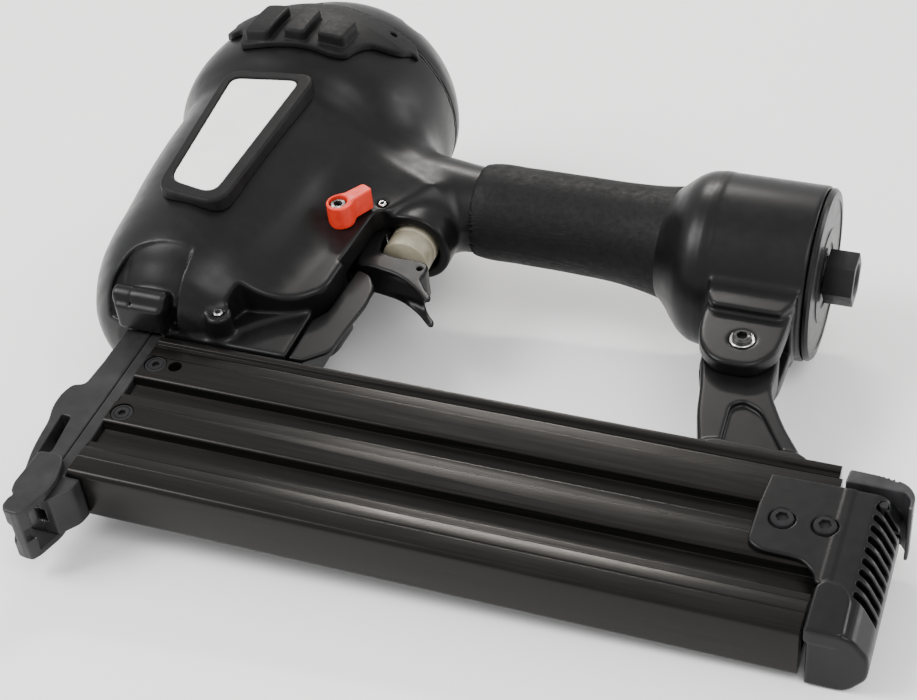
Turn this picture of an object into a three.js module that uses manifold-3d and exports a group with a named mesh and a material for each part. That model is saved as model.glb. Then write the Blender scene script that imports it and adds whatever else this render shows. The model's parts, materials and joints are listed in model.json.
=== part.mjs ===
// Pneumatic straight-magazine nailer for fixing floorboards.
//
// The tool is modelled upright, in millimetres: the drive axis is Z with the nose tip near z = 0,
// +X points back along the magazine and handle, and -Y is the left side. A nested group then lays
// the tool on its right side, where the cylinder head, the nose and the magazine touch the ground.

import * as THREE from 'three';
import { mergeVertices } from 'three/addons/utils/BufferGeometryUtils.js';
import Module from 'manifold-3d';

const wasm = await Module();
wasm.setup();

// ---------------------------------------------------------------- driving dimensions

// The tool lies on the barrel, the head and the tail cover: the head lifts the drive axis, and the
// tail sinks lower than the barrel.
const REST_TILT = THREE.MathUtils.degToRad(8.409);
const REST_ROLL = THREE.MathUtils.degToRad(2.435);
const GAP = 0.3; // clearance between touching pieces

const BARREL = { floor: 111, seam: 299.6, capBottom: 301, cavityFloor: 128, cavityTop: 45 };
const SLEEVE = { outer: 30, inner: 27, bottom: 128.4, top: 262 };
const STROKE = 104; // travel of piston and blade
const PISTON = { bottom: 254.5, top: 267, radius: 26.6, bossRadius: 8 };
const BLADE = { width: 6, thickness: 2, tip: STROKE + 4.5 };

const HANDLE = { axisZ: 237, bore: 16, gripFront: 103, gripRear: 197 };
const TAIL_CAP = { x: 214, end: 264, radius: 38.4, axisZ: 229.5 };
const INLET = { flats: 21, x: 264.3, end: 277 };

const MAGAZINE = { front: 5.4, end: 296, halfWidth: 12.3, bottom: 24.6, top: 101.6 };
const RAIL = { bottom: 102, top: 107.4, end: 294.6 };
const NAIL_SLOT = 0.9; // half width of the nail channel

const TRIGGER = { x: 68, z: 207, halfWidth: 8 };
const VALVE = { x: 82, radius: 11, bottom: 192, top: 233 };
const LEVER = { x: 55, z: 190, surface: -20.3 };
const FOOT_HALF_WIDTH = 13.6;
const COVER = { front: 298.4, back: 320.5, bottom: 24.2, top: 94.6, halfWidth: 14.6 };
const LATCH = { x: 313, z: 90 };
const BRACKET = { x: 242.3, z: 165 };

// ---------------------------------------------------------------- materials

function paint(color, roughness, metalness) {
  return new THREE.MeshStandardMaterial({ color, roughness, metalness });
}

const castingBlack = paint(0x1b1b1d, 0.45, 0.35);
const gripRubber = paint(0x141414, 0.85, 0.0);
const guardRubber = paint(0x161616, 0.7, 0.0);
const anodisedBlack = paint(0x202022, 0.35, 0.6);
const blackSteel = paint(0x26262a, 0.4, 0.8);
const brightSteel = paint(0xb5b7ba, 0.3, 1.0);
const leverRed = paint(0xd42a18, 0.4, 0.0);
const valvePlastic = paint(0xb9b29a, 0.5, 0.0);
const labelWhite = paint(0xf2f1ec, 0.4, 0.0);
const sealBlack = paint(0x0e0e0e, 0.8, 0.0);
const springSteel = paint(0x8c8f93, 0.35, 1.0);

// ---------------------------------------------------------------- solids

// Welds a geometry, drops the triangles that collapse and turns the faces outward.
function solid(geometry) {
  const bare = geometry.clone();
  bare.deleteAttribute('normal');
  bare.deleteAttribute('uv');
  const welded = mergeVertices(bare, 1e-4);
  const vertices = welded.attributes.position.array;
  const kept = [];
  let volume = 0;
  for (let i = 0; i < welded.index.count; i += 3) {
    const [a, b, c] = welded.index.array.slice(i, i + 3);
    if (a === b || b === c || c === a) continue;
    kept.push(a, b, c);
    const corner = new THREE.Vector3().fromArray(vertices, 3 * a);
    const side = new THREE.Vector3().fromArray(vertices, 3 * b);
    volume += corner.dot(side.cross(new THREE.Vector3().fromArray(vertices, 3 * c)));
  }
  if (volume < 0) kept.reverse();
  return new wasm.Manifold(new wasm.Mesh({
    numProp: 3,
    vertProperties: new Float32Array(vertices),
    triVerts: new Uint32Array(kept),
  }));
}

function cut(body, ...tools) {
  return tools.reduce((rest, tool) => rest.subtract(tool), body);
}

function join(...bodies) {
  return bodies.reduce((whole, body) => whole.add(body));
}

// An outline through corners [a, b, rounding]; a missing rounding keeps the corner sharp, and no
// rounding takes more than 0.45 of the edge beside it.
function outline(corners) {
  const shape = new THREE.Shape();
  corners.forEach(([a, b, rounding = 0], i) => {
    const here = new THREE.Vector2(a, b);
    const before = new THREE.Vector2(...corners.at(i - 1).slice(0, 2)).sub(here);
    const after = new THREE.Vector2(...corners[(i + 1) % corners.length].slice(0, 2)).sub(here);
    const reach = Math.min(rounding, 0.45 * before.length(), 0.45 * after.length());
    const entry = before.setLength(reach).add(here);
    const exit = after.setLength(reach).add(here);
    if (i === 0) shape.moveTo(entry.x, entry.y);
    else shape.lineTo(entry.x, entry.y);
    if (reach > 0) shape.quadraticCurveTo(here.x, here.y, exit.x, exit.y);
  });
  return shape;
}

const X = new THREE.Vector3(1, 0, 0);
const Y = new THREE.Vector3(0, 1, 0);
const Z = new THREE.Vector3(0, 0, 1);

// The outline's two directions and the extrusion direction for a prism along each axis.
const PRISM_BASIS = {
  x: [Y, Z, X],
  y: [X, Z, Y.clone().negate()],
  z: [X, Y, Z],
};

function prism(axis, from, to, corners, curveSegments = 3) {
  const shape = corners instanceof THREE.Shape ? corners : outline(corners);
  const geometry = new THREE.ExtrudeGeometry(shape, {
    depth: to - from,
    bevelEnabled: false,
    curveSegments,
  });
  const along = axis === 'y' ? Y : PRISM_BASIS[axis][2];
  const start = along.clone().multiplyScalar(axis === 'y' ? to : from);
  geometry.applyMatrix4(new THREE.Matrix4().makeBasis(...PRISM_BASIS[axis]).setPosition(start));
  return solid(geometry);
}

function block(x0, x1, y0, y1, z0, z1) {
  const geometry = new THREE.BoxGeometry(x1 - x0, y1 - y0, z1 - z0);
  geometry.translate((x0 + x1) / 2, (y0 + y1) / 2, (z0 + z1) / 2);
  return solid(geometry);
}

const FROM_LATHE_AXIS = {
  x: new THREE.Matrix4().makeRotationZ(-Math.PI / 2),
  y: new THREE.Matrix4(),
  z: new THREE.Matrix4().makeRotationX(Math.PI / 2),
};

// A body of revolution about the named axis through `centre`; the profile is [radius, height].
function turned(axis, profile, centre = [0, 0, 0], segments = 32) {
  const points = profile.map(([radius, height]) => new THREE.Vector2(radius, height));
  const geometry = new THREE.LatheGeometry(points, segments);
  geometry.applyMatrix4(FROM_LATHE_AXIS[axis]);
  geometry.translate(...centre);
  return solid(geometry);
}

function rod(axis, radius, from, to, centre = [0, 0, 0], segments = 24) {
  return turned(axis, [[0, from], [radius, from], [radius, to], [0, to]], centre, segments);
}

function tube(axis, outer, inner, from, to, centre = [0, 0, 0], segments = 28) {
  const profile = [[inner, from], [outer, from], [outer, to], [inner, to], [inner, from]];
  return turned(axis, profile, centre, segments);
}

// A hexagonal bar along an axis, measured across the flats.
function hexBar(axis, flats, from, to, centre) {
  return rod(axis, flats / Math.sqrt(3), from, to, centre, 6);
}

// A skin through elliptical sections. Along X a section is [x, centre z, half height, half width];
// along Z it is [z, centre x, half length, half width].
function faired(axis, sections, sides = 24) {
  const positions = [];
  const index = [];
  const place = (along, across, width) => (
    axis === 'x' ? positions.push(along, width, across) : positions.push(across, width, along)
  );
  sections.forEach(([along, centre, half, halfWidth]) => {
    for (let i = 0; i < sides; i += 1) {
      const angle = (2 * Math.PI * i) / sides;
      place(along, centre + half * Math.cos(angle), halfWidth * Math.sin(angle));
    }
  });
  const last = sections.length - 1;
  for (let ring = 0; ring < last; ring += 1) {
    for (let i = 0; i < sides; i += 1) {
      const a = ring * sides + i;
      const b = ring * sides + ((i + 1) % sides);
      index.push(a, b, b + sides, a, b + sides, a + sides);
    }
  }
  const hubs = [0, last].map((ring) => {
    place(sections[ring][0], sections[ring][1], 0);
    return positions.length / 3 - 1;
  });
  for (let i = 0; i < sides; i += 1) {
    const next = (i + 1) % sides;
    index.push(hubs[0], next, i);
    index.push(hubs[1], last * sides + i, last * sides + next);
  }
  const geometry = new THREE.BufferGeometry();
  geometry.setAttribute('position', new THREE.Float32BufferAttribute(positions, 3));
  geometry.setIndex(index);
  return solid(geometry);
}

class Helix extends THREE.Curve {
  constructor(axis, centre, radius, from, to, turns) {
    super();
    Object.assign(this, { axis, centre, radius, from, to, turns });
  }

  getPoint(t, target = new THREE.Vector3()) {
    const angle = 2 * Math.PI * this.turns * t;
    const along = this.from + (this.to - this.from) * t;
    const across = this.radius * Math.cos(angle);
    const up = this.radius * Math.sin(angle);
    if (this.axis === 'z') target.set(across, up, along);
    else target.set(along, across, up);
    return target.add(this.centre);
  }
}

function coilSpring(axis, centre, radius, wire, from, to, turns, stepsPerTurn) {
  const section = new THREE.Shape();
  for (let i = 0; i < 4; i += 1) {
    const angle = (Math.PI * i) / 2;
    const x = wire * Math.cos(angle);
    const y = wire * Math.sin(angle);
    if (i === 0) section.moveTo(x, y);
    else section.lineTo(x, y);
  }
  const path = new Helix(axis, new THREE.Vector3(...centre), radius, from, to, turns);
  return solid(new THREE.ExtrudeGeometry(section, {
    steps: turns * stepsPerTurn,
    extrudePath: path,
    curveSegments: 1,
  }));
}

const tool = new THREE.Group();

function add(name, body, material, position = [0, 0, 0]) {
  const { vertProperties, triVerts } = body.getMesh();
  const geometry = new THREE.BufferGeometry();
  geometry.setAttribute('position', new THREE.Float32BufferAttribute(vertProperties, 3));
  geometry.setIndex(Array.from(triVerts));
  geometry.computeVertexNormals();
  const mesh = new THREE.Mesh(geometry, material);
  mesh.name = name;
  mesh.position.set(...position);
  tool.add(mesh);
}

// A socket head cap screw along +Y: the head's outer face is at y = 0 and the shank runs inward.
function socketScrew(headRadius, headHeight, shankRadius, length) {
  const head = rod('y', headRadius, 0, headHeight, [0, 0, 0], 14);
  const shank = rod('y', shankRadius, headHeight - 0.1, length, [0, 0, 0], 8);
  const socket = hexBar('y', headRadius * 0.95, -1, headHeight * 0.6, [0, 0, 0]);
  return cut(join(head, shank), socket);
}

// ---------------------------------------------------------------- main casting

// The barrel and cap swell backwards as they rise: [z, centre x, half length, half width].
const BARREL_SECTIONS = [
  [BARREL.floor, 0, 29, 27], [114, 0.3, 34, 33], [120, 0.5, 38.5, 38], [137, 0.6, 45, 44.6],
  [166, 0.7, 48.6, 48.2], [191, 0.8, 51.6, 51.4], [214, 0.9, 53.6, 53.4], [232, 1, 54.4, 54],
  [239, 1.2, 56.4, 56], [247, 1.6, 61, 60.4], [255, 2, 63.4, 62], [272, 3, 64.4, 62],
  [288, 4.4, 63.6, 60.8], [BARREL.seam, 5.5, 61.4, 58.6],
];
const CAP_SECTIONS = [
  [BARREL.capBottom, 5.5, 61.4, 58.6], [306, 6.2, 59.4, 57], [313, 7.4, 55.6, 54], [320, 8.8, 51, 50],
  [330, 10.2, 42.4, 42], [337, 10.6, 33.5, 33.5], [343, 10.6, 22.5, 22.5], [346.6, 10.6, 9, 9],
];
const CAVITY_PROFILE = [
  [0, BARREL.cavityFloor], [30.4, BARREL.cavityFloor], [30.4, 136], [39.5, 144], [44, 170],
  [47.6, 200], [50.6, 236], [57, 256], [57, 274], [BARREL.cavityTop, 284], [BARREL.cavityTop, 310], [0, 310],
];
const NECK_SECTIONS = [
  [30, 232, 32, 27], [62, 237, 25, 23], [82, 238, 22.6, 21.5], [HANDLE.gripFront, 237.5, 20.4, 19.6],
  [HANDLE.gripRear, 235.5, 22.4, 21.6], [205, 232.6, 29.6, 29], [TAIL_CAP.x, 230.4, 36.4, 36],
  [222, TAIL_CAP.axisZ, TAIL_CAP.radius, TAIL_CAP.radius],
];

// Sections grown outward by an offset and trimmed to a height range.
function grown(sections, offset, from, to) {
  return sections.filter(([z]) => z >= from && z <= to).map(([z, x, halfLength, halfWidth]) => (
    [z, x, halfLength + offset, halfWidth + offset]
  ));
}

const CAP_SCREW_PLACES = [45, 135, 225, 315].map((degrees) => {
  const angle = THREE.MathUtils.degToRad(degrees);
  return [2.5 + 50 * Math.cos(angle), 50 * Math.sin(angle), 0];
});

function mainCasting() {
  const barrel = faired('z', BARREL_SECTIONS, 28);
  const handle = faired('x', NECK_SECTIONS, 20);
  const tailBarrel = rod('x', TAIL_CAP.radius, 221, 260.5, [0, 0, TAIL_CAP.axisZ], 24);
  const web = prism('y', -20, 20, [
    [10, 128], [38, 132, 4], [58, 138, 4], [66, 144, 4], [68, 196, 3], [74, 206], [80, 230], [10, 236],
  ]);
  const noseSeat = block(5, 62, -10, 10, BARREL.floor, 140);
  const valveBoss = join(
    rod('z', 15.4, 200, 238, [VALVE.x, 0, 0]),
    prism('y', 10, 17, [[60, 230], [70, 204], [84, 200, 3], [92, 200.5, 3], [97, 210, 4], [101, 226]]),
  );
  const legBoss = prism('y', -14, 14, [
    [222, 215], [223, 168, 7], [233, 152.6, 6], [250, 152.6, 6], [258, 168, 6], [258, 215],
  ]);
  const pinBoss = rod('y', 5, -21.5, -12, [29, 0, 118], 16);
  const bodies = join(barrel, handle, tailBarrel, web, noseSeat, valveBoss, legBoss, pinBoss);
  return cut(
    bodies,
    turned('z', CAVITY_PROFILE, [0, 0, 0], 20),
    rod('z', 8.5, 100, 140),
    rod('x', HANDLE.bore, 20, 240, [0, 0, HANDLE.axisZ]),
    rod('x', 34.4, 224, 270, [0, 0, TAIL_CAP.axisZ], 20),
    ...CAP_SCREW_PLACES.map((place) => rod('z', 2.8, 286, 310, place, 8)),
    rod('z', VALVE.radius + GAP, 180, HANDLE.axisZ, [VALVE.x, 0, 0]),
    block(57, 112, -8.8, 8.8, 180, 214),
    prism('y', -40, 8.8, [
      [64.6, 170], [66.4, 197, 3], [70, 202, 4], [78, 205.4, 4], [88, 205, 4], [99, 198.6, 3],
      [112, 192], [112, 170],
    ]),
    rod('y', 2.4, -30, 30, [TRIGGER.x, 0, TRIGGER.z], 12),
    block(-9, 72, 10.2, 14.4, 104, 124),
    block(57.4, 72, 10.2, 14.4, 104, 190),
    block(62.3, 84, -9.8, 9.8, 100, 143),
    rod('y', 2.4, -30, -13, [29, 0, 118], 10),
    rod('y', 3.3, -30, 30, [LEVER.x, 0, LEVER.z], 12),
    legPocket(),
  );
}

// The fork in the boss under the handle's end, which takes the top of the bracket leg.
function legPocket() {
  const slot = block(219, 262, -7.4, 7.4, 140, 184.6);
  return join(slot, rod('y', 2.8, -20, 20, [BRACKET.x, 0, BRACKET.z], 12));
}

add('body_housing', mainCasting(), castingBlack);

add('body_pin', rod('y', 2.1, -22.3, -13.5, [29, 0, 118], 10), brightSteel);

// ---------------------------------------------------------------- head

const CAP_INNER_PROFILE = [[0, 290], [42, 290], [42, 313], [40, 322], [30, 332], [0, 336]];

function headCap() {
  const screwWells = CAP_SCREW_PLACES.map((place) => (
    join(rod('z', 4.9, 308, 345, place, 12), rod('z', 2.8, 290, 320, place, 8))
  ));
  const shell = cut(faired('z', CAP_SECTIONS, 28), turned('z', CAP_INNER_PROFILE, [0, 0, 0], 20));
  return cut(shell, ...screwWells);
}

function capGasket() {
  const [, ...face] = CAP_SECTIONS[0];
  const sheet = faired('z', [[299.9, ...face], [300.7, ...face]], 28);
  const screwHoles = CAP_SCREW_PLACES.map((place) => rod('z', 2.8, 290, 310, place, 8));
  return cut(sheet, rod('z', 45.4, 290, 310, [0, 0, 0], 20), ...screwHoles);
}

function capScrew() {
  const head = rod('z', 4.4, 308.3, 312.6, [0, 0, 0], 12);
  const shank = rod('z', 2.4, 287, 308.4, [0, 0, 0], 8);
  return cut(join(head, shank), hexBar('z', 4.2, 310.2, 314, [0, 0, 0]));
}

add('head_cap', headCap(), castingBlack);
add('cap_gasket', capGasket(), sealBlack);
CAP_SCREW_PLACES.forEach((place, i) => add(`cap_screw_${i + 1}`, capScrew(), brightSteel, place));

// Moulded rubber guard that wraps the left side of the head over the seam.
const GUARD = { gap: 0.6, plate: 3.2, blocks: 8 };

function headGuard() {
  const head = [...BARREL_SECTIONS.slice(0, -1), ...CAP_SECTIONS];
  const skin = (offset) => faired('z', grown(head, offset, 255, 313), 40);
  const window = prism('y', -90, -16, [
    [-34, 266, 3], [-8, 262.5, 6], [20, 267, 4], [31, 279, 3], [40, 283, 3], [50, 300], [44, 307], [-36, 304],
  ]);
  const plate = cut(skin(GUARD.plate).intersect(window), skin(GUARD.gap));
  const blocks = [[-30, -15, 272, 296], [-10, 5, 269, 294], [9, 22, 274, 297]].map(([x0, x1, z0, z1]) => {
    const column = prism('y', -90, -16, [[x0, z0, 2], [x1, z0, 2], [x1 + 5, z1, 2], [x0 + 5, z1, 2]]);
    return cut(skin(GUARD.blocks).intersect(column), skin(GUARD.plate - 0.5));
  });
  return join(plate, ...blocks);
}

add('head_guard', headGuard(), guardRubber);

// ---------------------------------------------------------------- head valve, cylinder, piston

const SLEEVE_PROFILE = [
  [SLEEVE.inner, SLEEVE.bottom], [SLEEVE.outer, SLEEVE.bottom], [SLEEVE.outer, 198], [45.4, 198],
  [45.4, 204], [SLEEVE.outer, 204], [SLEEVE.outer, 256], [33, 258], [33, SLEEVE.top + 6],
  [SLEEVE.inner, SLEEVE.top + 6], [SLEEVE.inner, SLEEVE.bottom],
];
add('cylinder_sleeve', turned('z', SLEEVE_PROFILE, [0, 0, 0], 20), brightSteel);

const HEAD_VALVE_PROFILE = [
  [20, 268.5], [41, 268.5], [41, 276], [29, 280], [29, 300], [20, 300], [20, 268.5],
];
add('head_valve', turned('z', HEAD_VALVE_PROFILE, [0, 0, 0], 20), valvePlastic);
add('head_valve_spring', coilSpring('z', [0, 0, 0], 33, 1, 281.5, 325.5, 4, 10), springSteel);

const STOP_PROFILE = [[0, 269], [14, 269], [17, 275], [17, 333.2], [0, 333.2]];
add('piston_stop', turned('z', STOP_PROFILE, [0, 0, 0], 20), sealBlack);

const BUMPER_PROFILE = [
  [9, 128.6], [26.4, 128.6], [26.4, 140], [22, 148.5], [12, 148.5], [9, 142], [9, 128.6],
];
add('drive_bumper', turned('z', BUMPER_PROFILE, [0, 0, 0], 18), sealBlack);

function piston() {
  const disc = turned('z', [
    [0, PISTON.bottom - 12], [PISTON.bossRadius, PISTON.bottom - 12],
    [PISTON.bossRadius, PISTON.bottom], [PISTON.radius - 1, PISTON.bottom],
    [PISTON.radius - 1, PISTON.bottom + 4], [PISTON.radius - 3.4, PISTON.bottom + 4],
    [PISTON.radius - 3.4, PISTON.bottom + 8], [PISTON.radius - 1, PISTON.bottom + 8],
    [PISTON.radius - 1, PISTON.top], [0, PISTON.top],
  ], [0, 0, 0], 20);
  const bladeSlot = block(-BLADE.thickness / 2 - GAP, BLADE.thickness / 2 + GAP, -3.4, 3.4, 230, 252);
  return cut(disc, bladeSlot, rod('x', 1.5, -12, 12, [0, 0, 246], 10));
}

function driverBlade() {
  const half = BLADE.thickness / 2;
  const blade = block(-half, half, -BLADE.width / 2, BLADE.width / 2, BLADE.tip, 251.5);
  return cut(blade, rod('x', 1.5, -12, 12, [0, 0, 246], 10));
}

function pistonRing() {
  const inner = PISTON.radius - 3;
  return tube('z', PISTON.radius, inner, PISTON.bottom + 4.3, PISTON.bottom + 7.7, [0, 0, 0], 20);
}

add('piston', piston(), brightSteel);
add('piston_ring', pistonRing(), sealBlack);
add('driver_blade', driverBlade(), brightSteel);
add('blade_pin', rod('x', 1.2, -7.4, 7.4, [0, 0, 246], 10), blackSteel);

// ---------------------------------------------------------------- handle

const GRIP_FRONT = HANDLE.gripFront + GAP;
const GRIP_REAR = HANDLE.gripRear - GAP;
const GRIP_OUTER = [
  [GRIP_FRONT, 237.8, 21.6, 21], [118, 238, 22.4, 21.8], [150, 238, 22.8, 22.2],
  [185, 236.6, 24.4, 23.8], [GRIP_REAR, 235.4, 26.2, 25.6],
];
const GRIP_INNER = [
  [GRIP_FRONT - 2, 237.5, 20.9, 20.1], [GRIP_REAR + 2, 235.5, 22.9, 22.1],
];

add('grip_sleeve', cut(faired('x', GRIP_OUTER, 20), faired('x', GRIP_INNER, 20)), gripRubber);

function endPlate() {
  const plate = turned('x', [
    [0, 256], [33.6, 256], [33.6, 260.9], [37.4, 260.9], [37.4, 263], [36.2, TAIL_CAP.end], [0, TAIL_CAP.end],
  ], [0, 0, TAIL_CAP.axisZ], 24);
  return cut(plate, rod('x', 8.4, 240, 280, [0, 0, TAIL_CAP.axisZ], 20));
}

function airFitting() {
  const axis = [0, 0, TAIL_CAP.axisZ];
  const head = hexBar('x', INLET.flats, INLET.x, INLET.end, axis);
  const stem = rod('x', 8, 244, INLET.x + 0.1, axis, 20);
  const bore = rod('x', 5, 240, INLET.end - 10, axis, 16);
  const socket = rod('x', 6.4, INLET.end - 10.1, 300, axis, 16);
  return cut(join(head, stem), bore, socket);
}

add('end_plate', endPlate(), castingBlack);
add('air_fitting', airFitting(), blackSteel);
add('exhaust_silencer', tube('x', 32.6, 20, 226, 254.6, [0, 0, TAIL_CAP.axisZ], 18), sealBlack);

// ---------------------------------------------------------------- trigger and its valve

function valveHousing() {
  const body = turned('z', [
    [0, VALVE.bottom], [VALVE.radius - 1.2, VALVE.bottom], [VALVE.radius, VALVE.bottom + 1.2],
    [VALVE.radius, VALVE.top], [0, VALVE.top],
  ], [VALVE.x, 0, 0], 28);
  const stemHole = rod('z', 2.7, 180, 200, [VALVE.x, 0, 0], 10);
  const chamber = rod('z', 6.4, 199, 240, [VALVE.x, 0, 0], 14);
  return cut(body, stemHole, chamber);
}

function valvePlunger() {
  return join(
    rod('z', 2.5, 190, 206, [VALVE.x, 0, 0], 12),
    rod('z', 5.8, 203, 209, [VALVE.x, 0, 0], 14),
  );
}

add('valve_housing', valveHousing(), valvePlastic);
add('valve_plunger', valvePlunger(), brightSteel);
add('valve_spring', coilSpring('z', [VALVE.x, 0, 0], 4.6, 0.6, 210.2, 231, 4, 8), springSteel);

const TRIGGER_OUTLINE = [
  [62.5, 203, 2], [64.5, 210.6, 3], [71, 210.6, 3], [70, 199, 2], [70.6, 190], [75, 187.4], [94, 187.4, 1],
  [98.2, 184.5, 1.5], [98.4, 176, 2], [105.5, 165, 1.5], [103.4, 162.6, 1], [95, 170.5, 4],
  [86, 174.6, 5], [66, 175.8, 3],
];

function trigger() {
  const body = prism('y', -TRIGGER.halfWidth, TRIGGER.halfWidth, TRIGGER_OUTLINE);
  const hollow = prism('y', -6.6, 6.6, [
    [60, 190], [64, 180], [86, 178.6, 4], [95.5, 175.5, 2], [95.5, 195], [76, 215], [60, 215],
  ]);
  const pad = block(76, 92, -7, 7, 184.4, 187.4);
  const pinHole = rod('y', 2.2, -20, 20, [TRIGGER.x, 0, TRIGGER.z], 12);
  return cut(join(cut(body, hollow), pad), pinHole);
}

add('trigger', trigger(), castingBlack);
add('trigger_pin', rod('y', 1.9, -20.6, 20.6, [TRIGGER.x, 0, TRIGGER.z], 12), brightSteel);

// ---------------------------------------------------------------- safety lever

function safetyLever() {
  const hub = rod('y', 6.4, LEVER.surface - 11.5, LEVER.surface, [LEVER.x, 0, LEVER.z], 20);
  const arm = prism('y', LEVER.surface - 11.5, LEVER.surface - 0.6, [
    [LEVER.x - 4.6, LEVER.z], [LEVER.x + 4.6, LEVER.z - 1], [LEVER.x + 8.4, LEVER.z + 18, 2],
    [LEVER.x + 2.6, LEVER.z + 19, 2],
  ]);
  const bore = join(
    rod('y', 4.3, LEVER.surface - 20, LEVER.surface - 6, [LEVER.x, 0, LEVER.z], 16),
    rod('y', 2.9, LEVER.surface - 20, 0, [LEVER.x, 0, LEVER.z], 12),
  );
  return cut(join(hub, arm), bore);
}

function leverScrew() {
  const head = rod('y', 3.9, LEVER.surface - 9.9, LEVER.surface - 6.3, [LEVER.x, 0, LEVER.z], 16);
  const shank = rod('y', 2.4, LEVER.surface - 6.4, LEVER.surface + 17, [LEVER.x, 0, LEVER.z], 12);
  const socket = hexBar('y', 3.8, LEVER.surface - 12, LEVER.surface - 7.6, [LEVER.x, 0, LEVER.z]);
  return cut(join(head, shank), socket);
}

add('safety_lever', safetyLever(), leverRed);
add('safety_lever_screw', leverScrew(), blackSteel);

// ---------------------------------------------------------------- label

// The label sits in a raised frame whose face leans with the taper of the barrel.
const LABEL_LEAN = Math.atan2(5, 84);
const LABEL_CORNERS = [[-11.8, 239, 4], [17.4, 242, 4], [15.8, 163.4, 4], [-8.4, 161, 4]];
const FRAME_CORNERS = [[-16.4, 243.4, 6], [23.4, 247, 6], [20.4, 152, 6], [-9.6, 153.4, 6]];

function leaning(from, to, corners) {
  const settings = { depth: to - from, bevelEnabled: false, curveSegments: 3 };
  const geometry = new THREE.ExtrudeGeometry(outline(corners), settings);
  geometry.applyMatrix4(new THREE.Matrix4().makeBasis(...PRISM_BASIS.y));
  geometry.translate(0, 0, -162);
  geometry.applyMatrix4(new THREE.Matrix4().makeRotationX(LABEL_LEAN));
  geometry.translate(0, -from, 162);
  return solid(geometry);
}

function clearOfBarrel(body) {
  return cut(body, faired('z', grown(BARREL_SECTIONS, GAP, BARREL.floor, 300), 28));
}

function labelFrame() {
  return clearOfBarrel(cut(leaning(30, 53.4, FRAME_CORNERS), leaning(52, 70, LABEL_CORNERS)));
}

function labelPlate() {
  const inset = LABEL_CORNERS.map(([a, b, rounding]) => (
    [a - 0.4 * Math.sign(a), b < 200 ? b + 0.4 : b - 0.4, rounding]
  ));
  return clearOfBarrel(leaning(52.3, 53.1, inset));
}

add('label_frame', labelFrame(), guardRubber);
add('label_plate', labelPlate(), labelWhite);

// ---------------------------------------------------------------- nose

const NOSE_FRONT_OUTLINE = [
  [-13.4, 110.6], [-13.4, 75, 2], [-19.5, 72, 2], [-21.2, 60, 2], [-17.6, 43, 2], [-15.6, 33.5, 2],
  [-9, 10.5], [-1.4, 10.5], [-1.4, 110.6],
];
const NOSE_REAR_OUTLINE = [
  [-1.1, 110.6], [4.6, 110.6], [4.6, 24.4], [11.5, 24.4, 1], [10.6, 18, 1], [5, 10.5, 1], [-1.1, 10.5],
];

const NOSE_SCREWS = [[-6, 101], [-6, 82]];

function noseFront() {
  const plate = prism('y', -10, 10, NOSE_FRONT_OUTLINE);
  const bladeChannel = block(-3, 0, -3.2, 3.2, 0, 120);
  const windowSlot = prism('y', -20, 20, [[-15, 53], [-10.4, 53, 1], [-7.6, 36, 1], [-11.6, 36]]);
  const screwWells = NOSE_SCREWS.map(([, z]) => [-6.2, 6.2].map((y) => join(
    rod('x', 3.4, -30, -9.5, [0, y, z], 10),
    rod('x', 2.1, -10, 5, [0, y, z], 8),
  ))).flat();
  return cut(plate, bladeChannel, windowSlot, ...screwWells);
}

function noseRear() {
  const plate = prism('y', -10, 10, NOSE_REAR_OUTLINE);
  const bladeChannel = block(-3, 1.3, -3.2, 3.2, 0, 120);
  const nailDoor = block(-3, 10, -NAIL_SLOT, NAIL_SLOT, 34, 100);
  const screwHoles = NOSE_SCREWS.map(([, z]) => (
    [-6.2, 6.2].map((y) => rod('x', 2.1, -10, 10, [0, y, z], 8))
  )).flat();
  return cut(plate, bladeChannel, nailDoor, ...screwHoles);
}

add('nose_front_plate', noseFront(), blackSteel);
add('nose_rear_plate', noseRear(), blackSteel);
NOSE_SCREWS.forEach(([, z], row) => [-6.2, 6.2].forEach((y, side) => {
  const head = rod('x', 3.1, -13.2, -9.9, [0, 0, 0], 10);
  const shank = rod('x', 1.8, -10, 4.2, [0, 0, 0], 8);
  const screw = cut(join(head, shank), hexBar('x', 2.8, -14, -11.4, [0, 0, 0]));
  add(`nose_screw_${2 * row + side + 1}`, screw, brightSteel, [0, y, z]);
}));

const FOOT_OUTLINE = [
  [-10.6, 32], [2, 32, 3], [4.3, 26, 2], [4.3, 14], [1.5, 2], [-2.4, -2], [-8.4, -2, 1],
  [-10.6, 1.8, 1], [-9.8, 5.4], [-11.6, 12],
];

function contactFoot() {
  const body = prism('y', -FOOT_HALF_WIDTH, FOOT_HALF_WIDTH, FOOT_OUTLINE);
  const noseSpace = block(-30, 30, -10.3, 10.3, 1.9, 50);
  const nailHole = block(-20, 1.2, -3.4, 3.4, -10, 10);
  return cut(body, noseSpace, nailHole);
}

function contactLink() {
  return prism('y', 10.6, FOOT_HALF_WIDTH - 0.1, [
    [-7, 32.4], [0, 32.4], [0, 108.4], [66.6, 108.4], [66.6, 172, 2], [60, 172, 2], [60, 113.4], [-7, 113.4],
  ]);
}

add('contact_foot', contactFoot(), blackSteel);
add('contact_link', contactLink(), blackSteel);
add('contact_spring', coilSpring('z', [63.3, 12.2, 0], 1.4, 0.3, 172.9, 189.2, 5, 6), springSteel);

function linkGuide() {
  const outer = prism('y', -9.8, 9.8, [
    [62.6, 111.5], [69, 111.5], [79, 121, 2], [79.6, 133], [82, 157, 3], [79, 166, 3], [72, 172], [68.8, 172],
    [67, 143.4], [62.6, 136],
  ]);
  return cut(outer, prism('y', -7.6, 30, [
    [68.6, 100], [90, 100], [90, 180], [70.8, 180], [69, 142],
  ]));
}

add('link_guide', linkGuide(), blackSteel);

// ---------------------------------------------------------------- magazine

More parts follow.
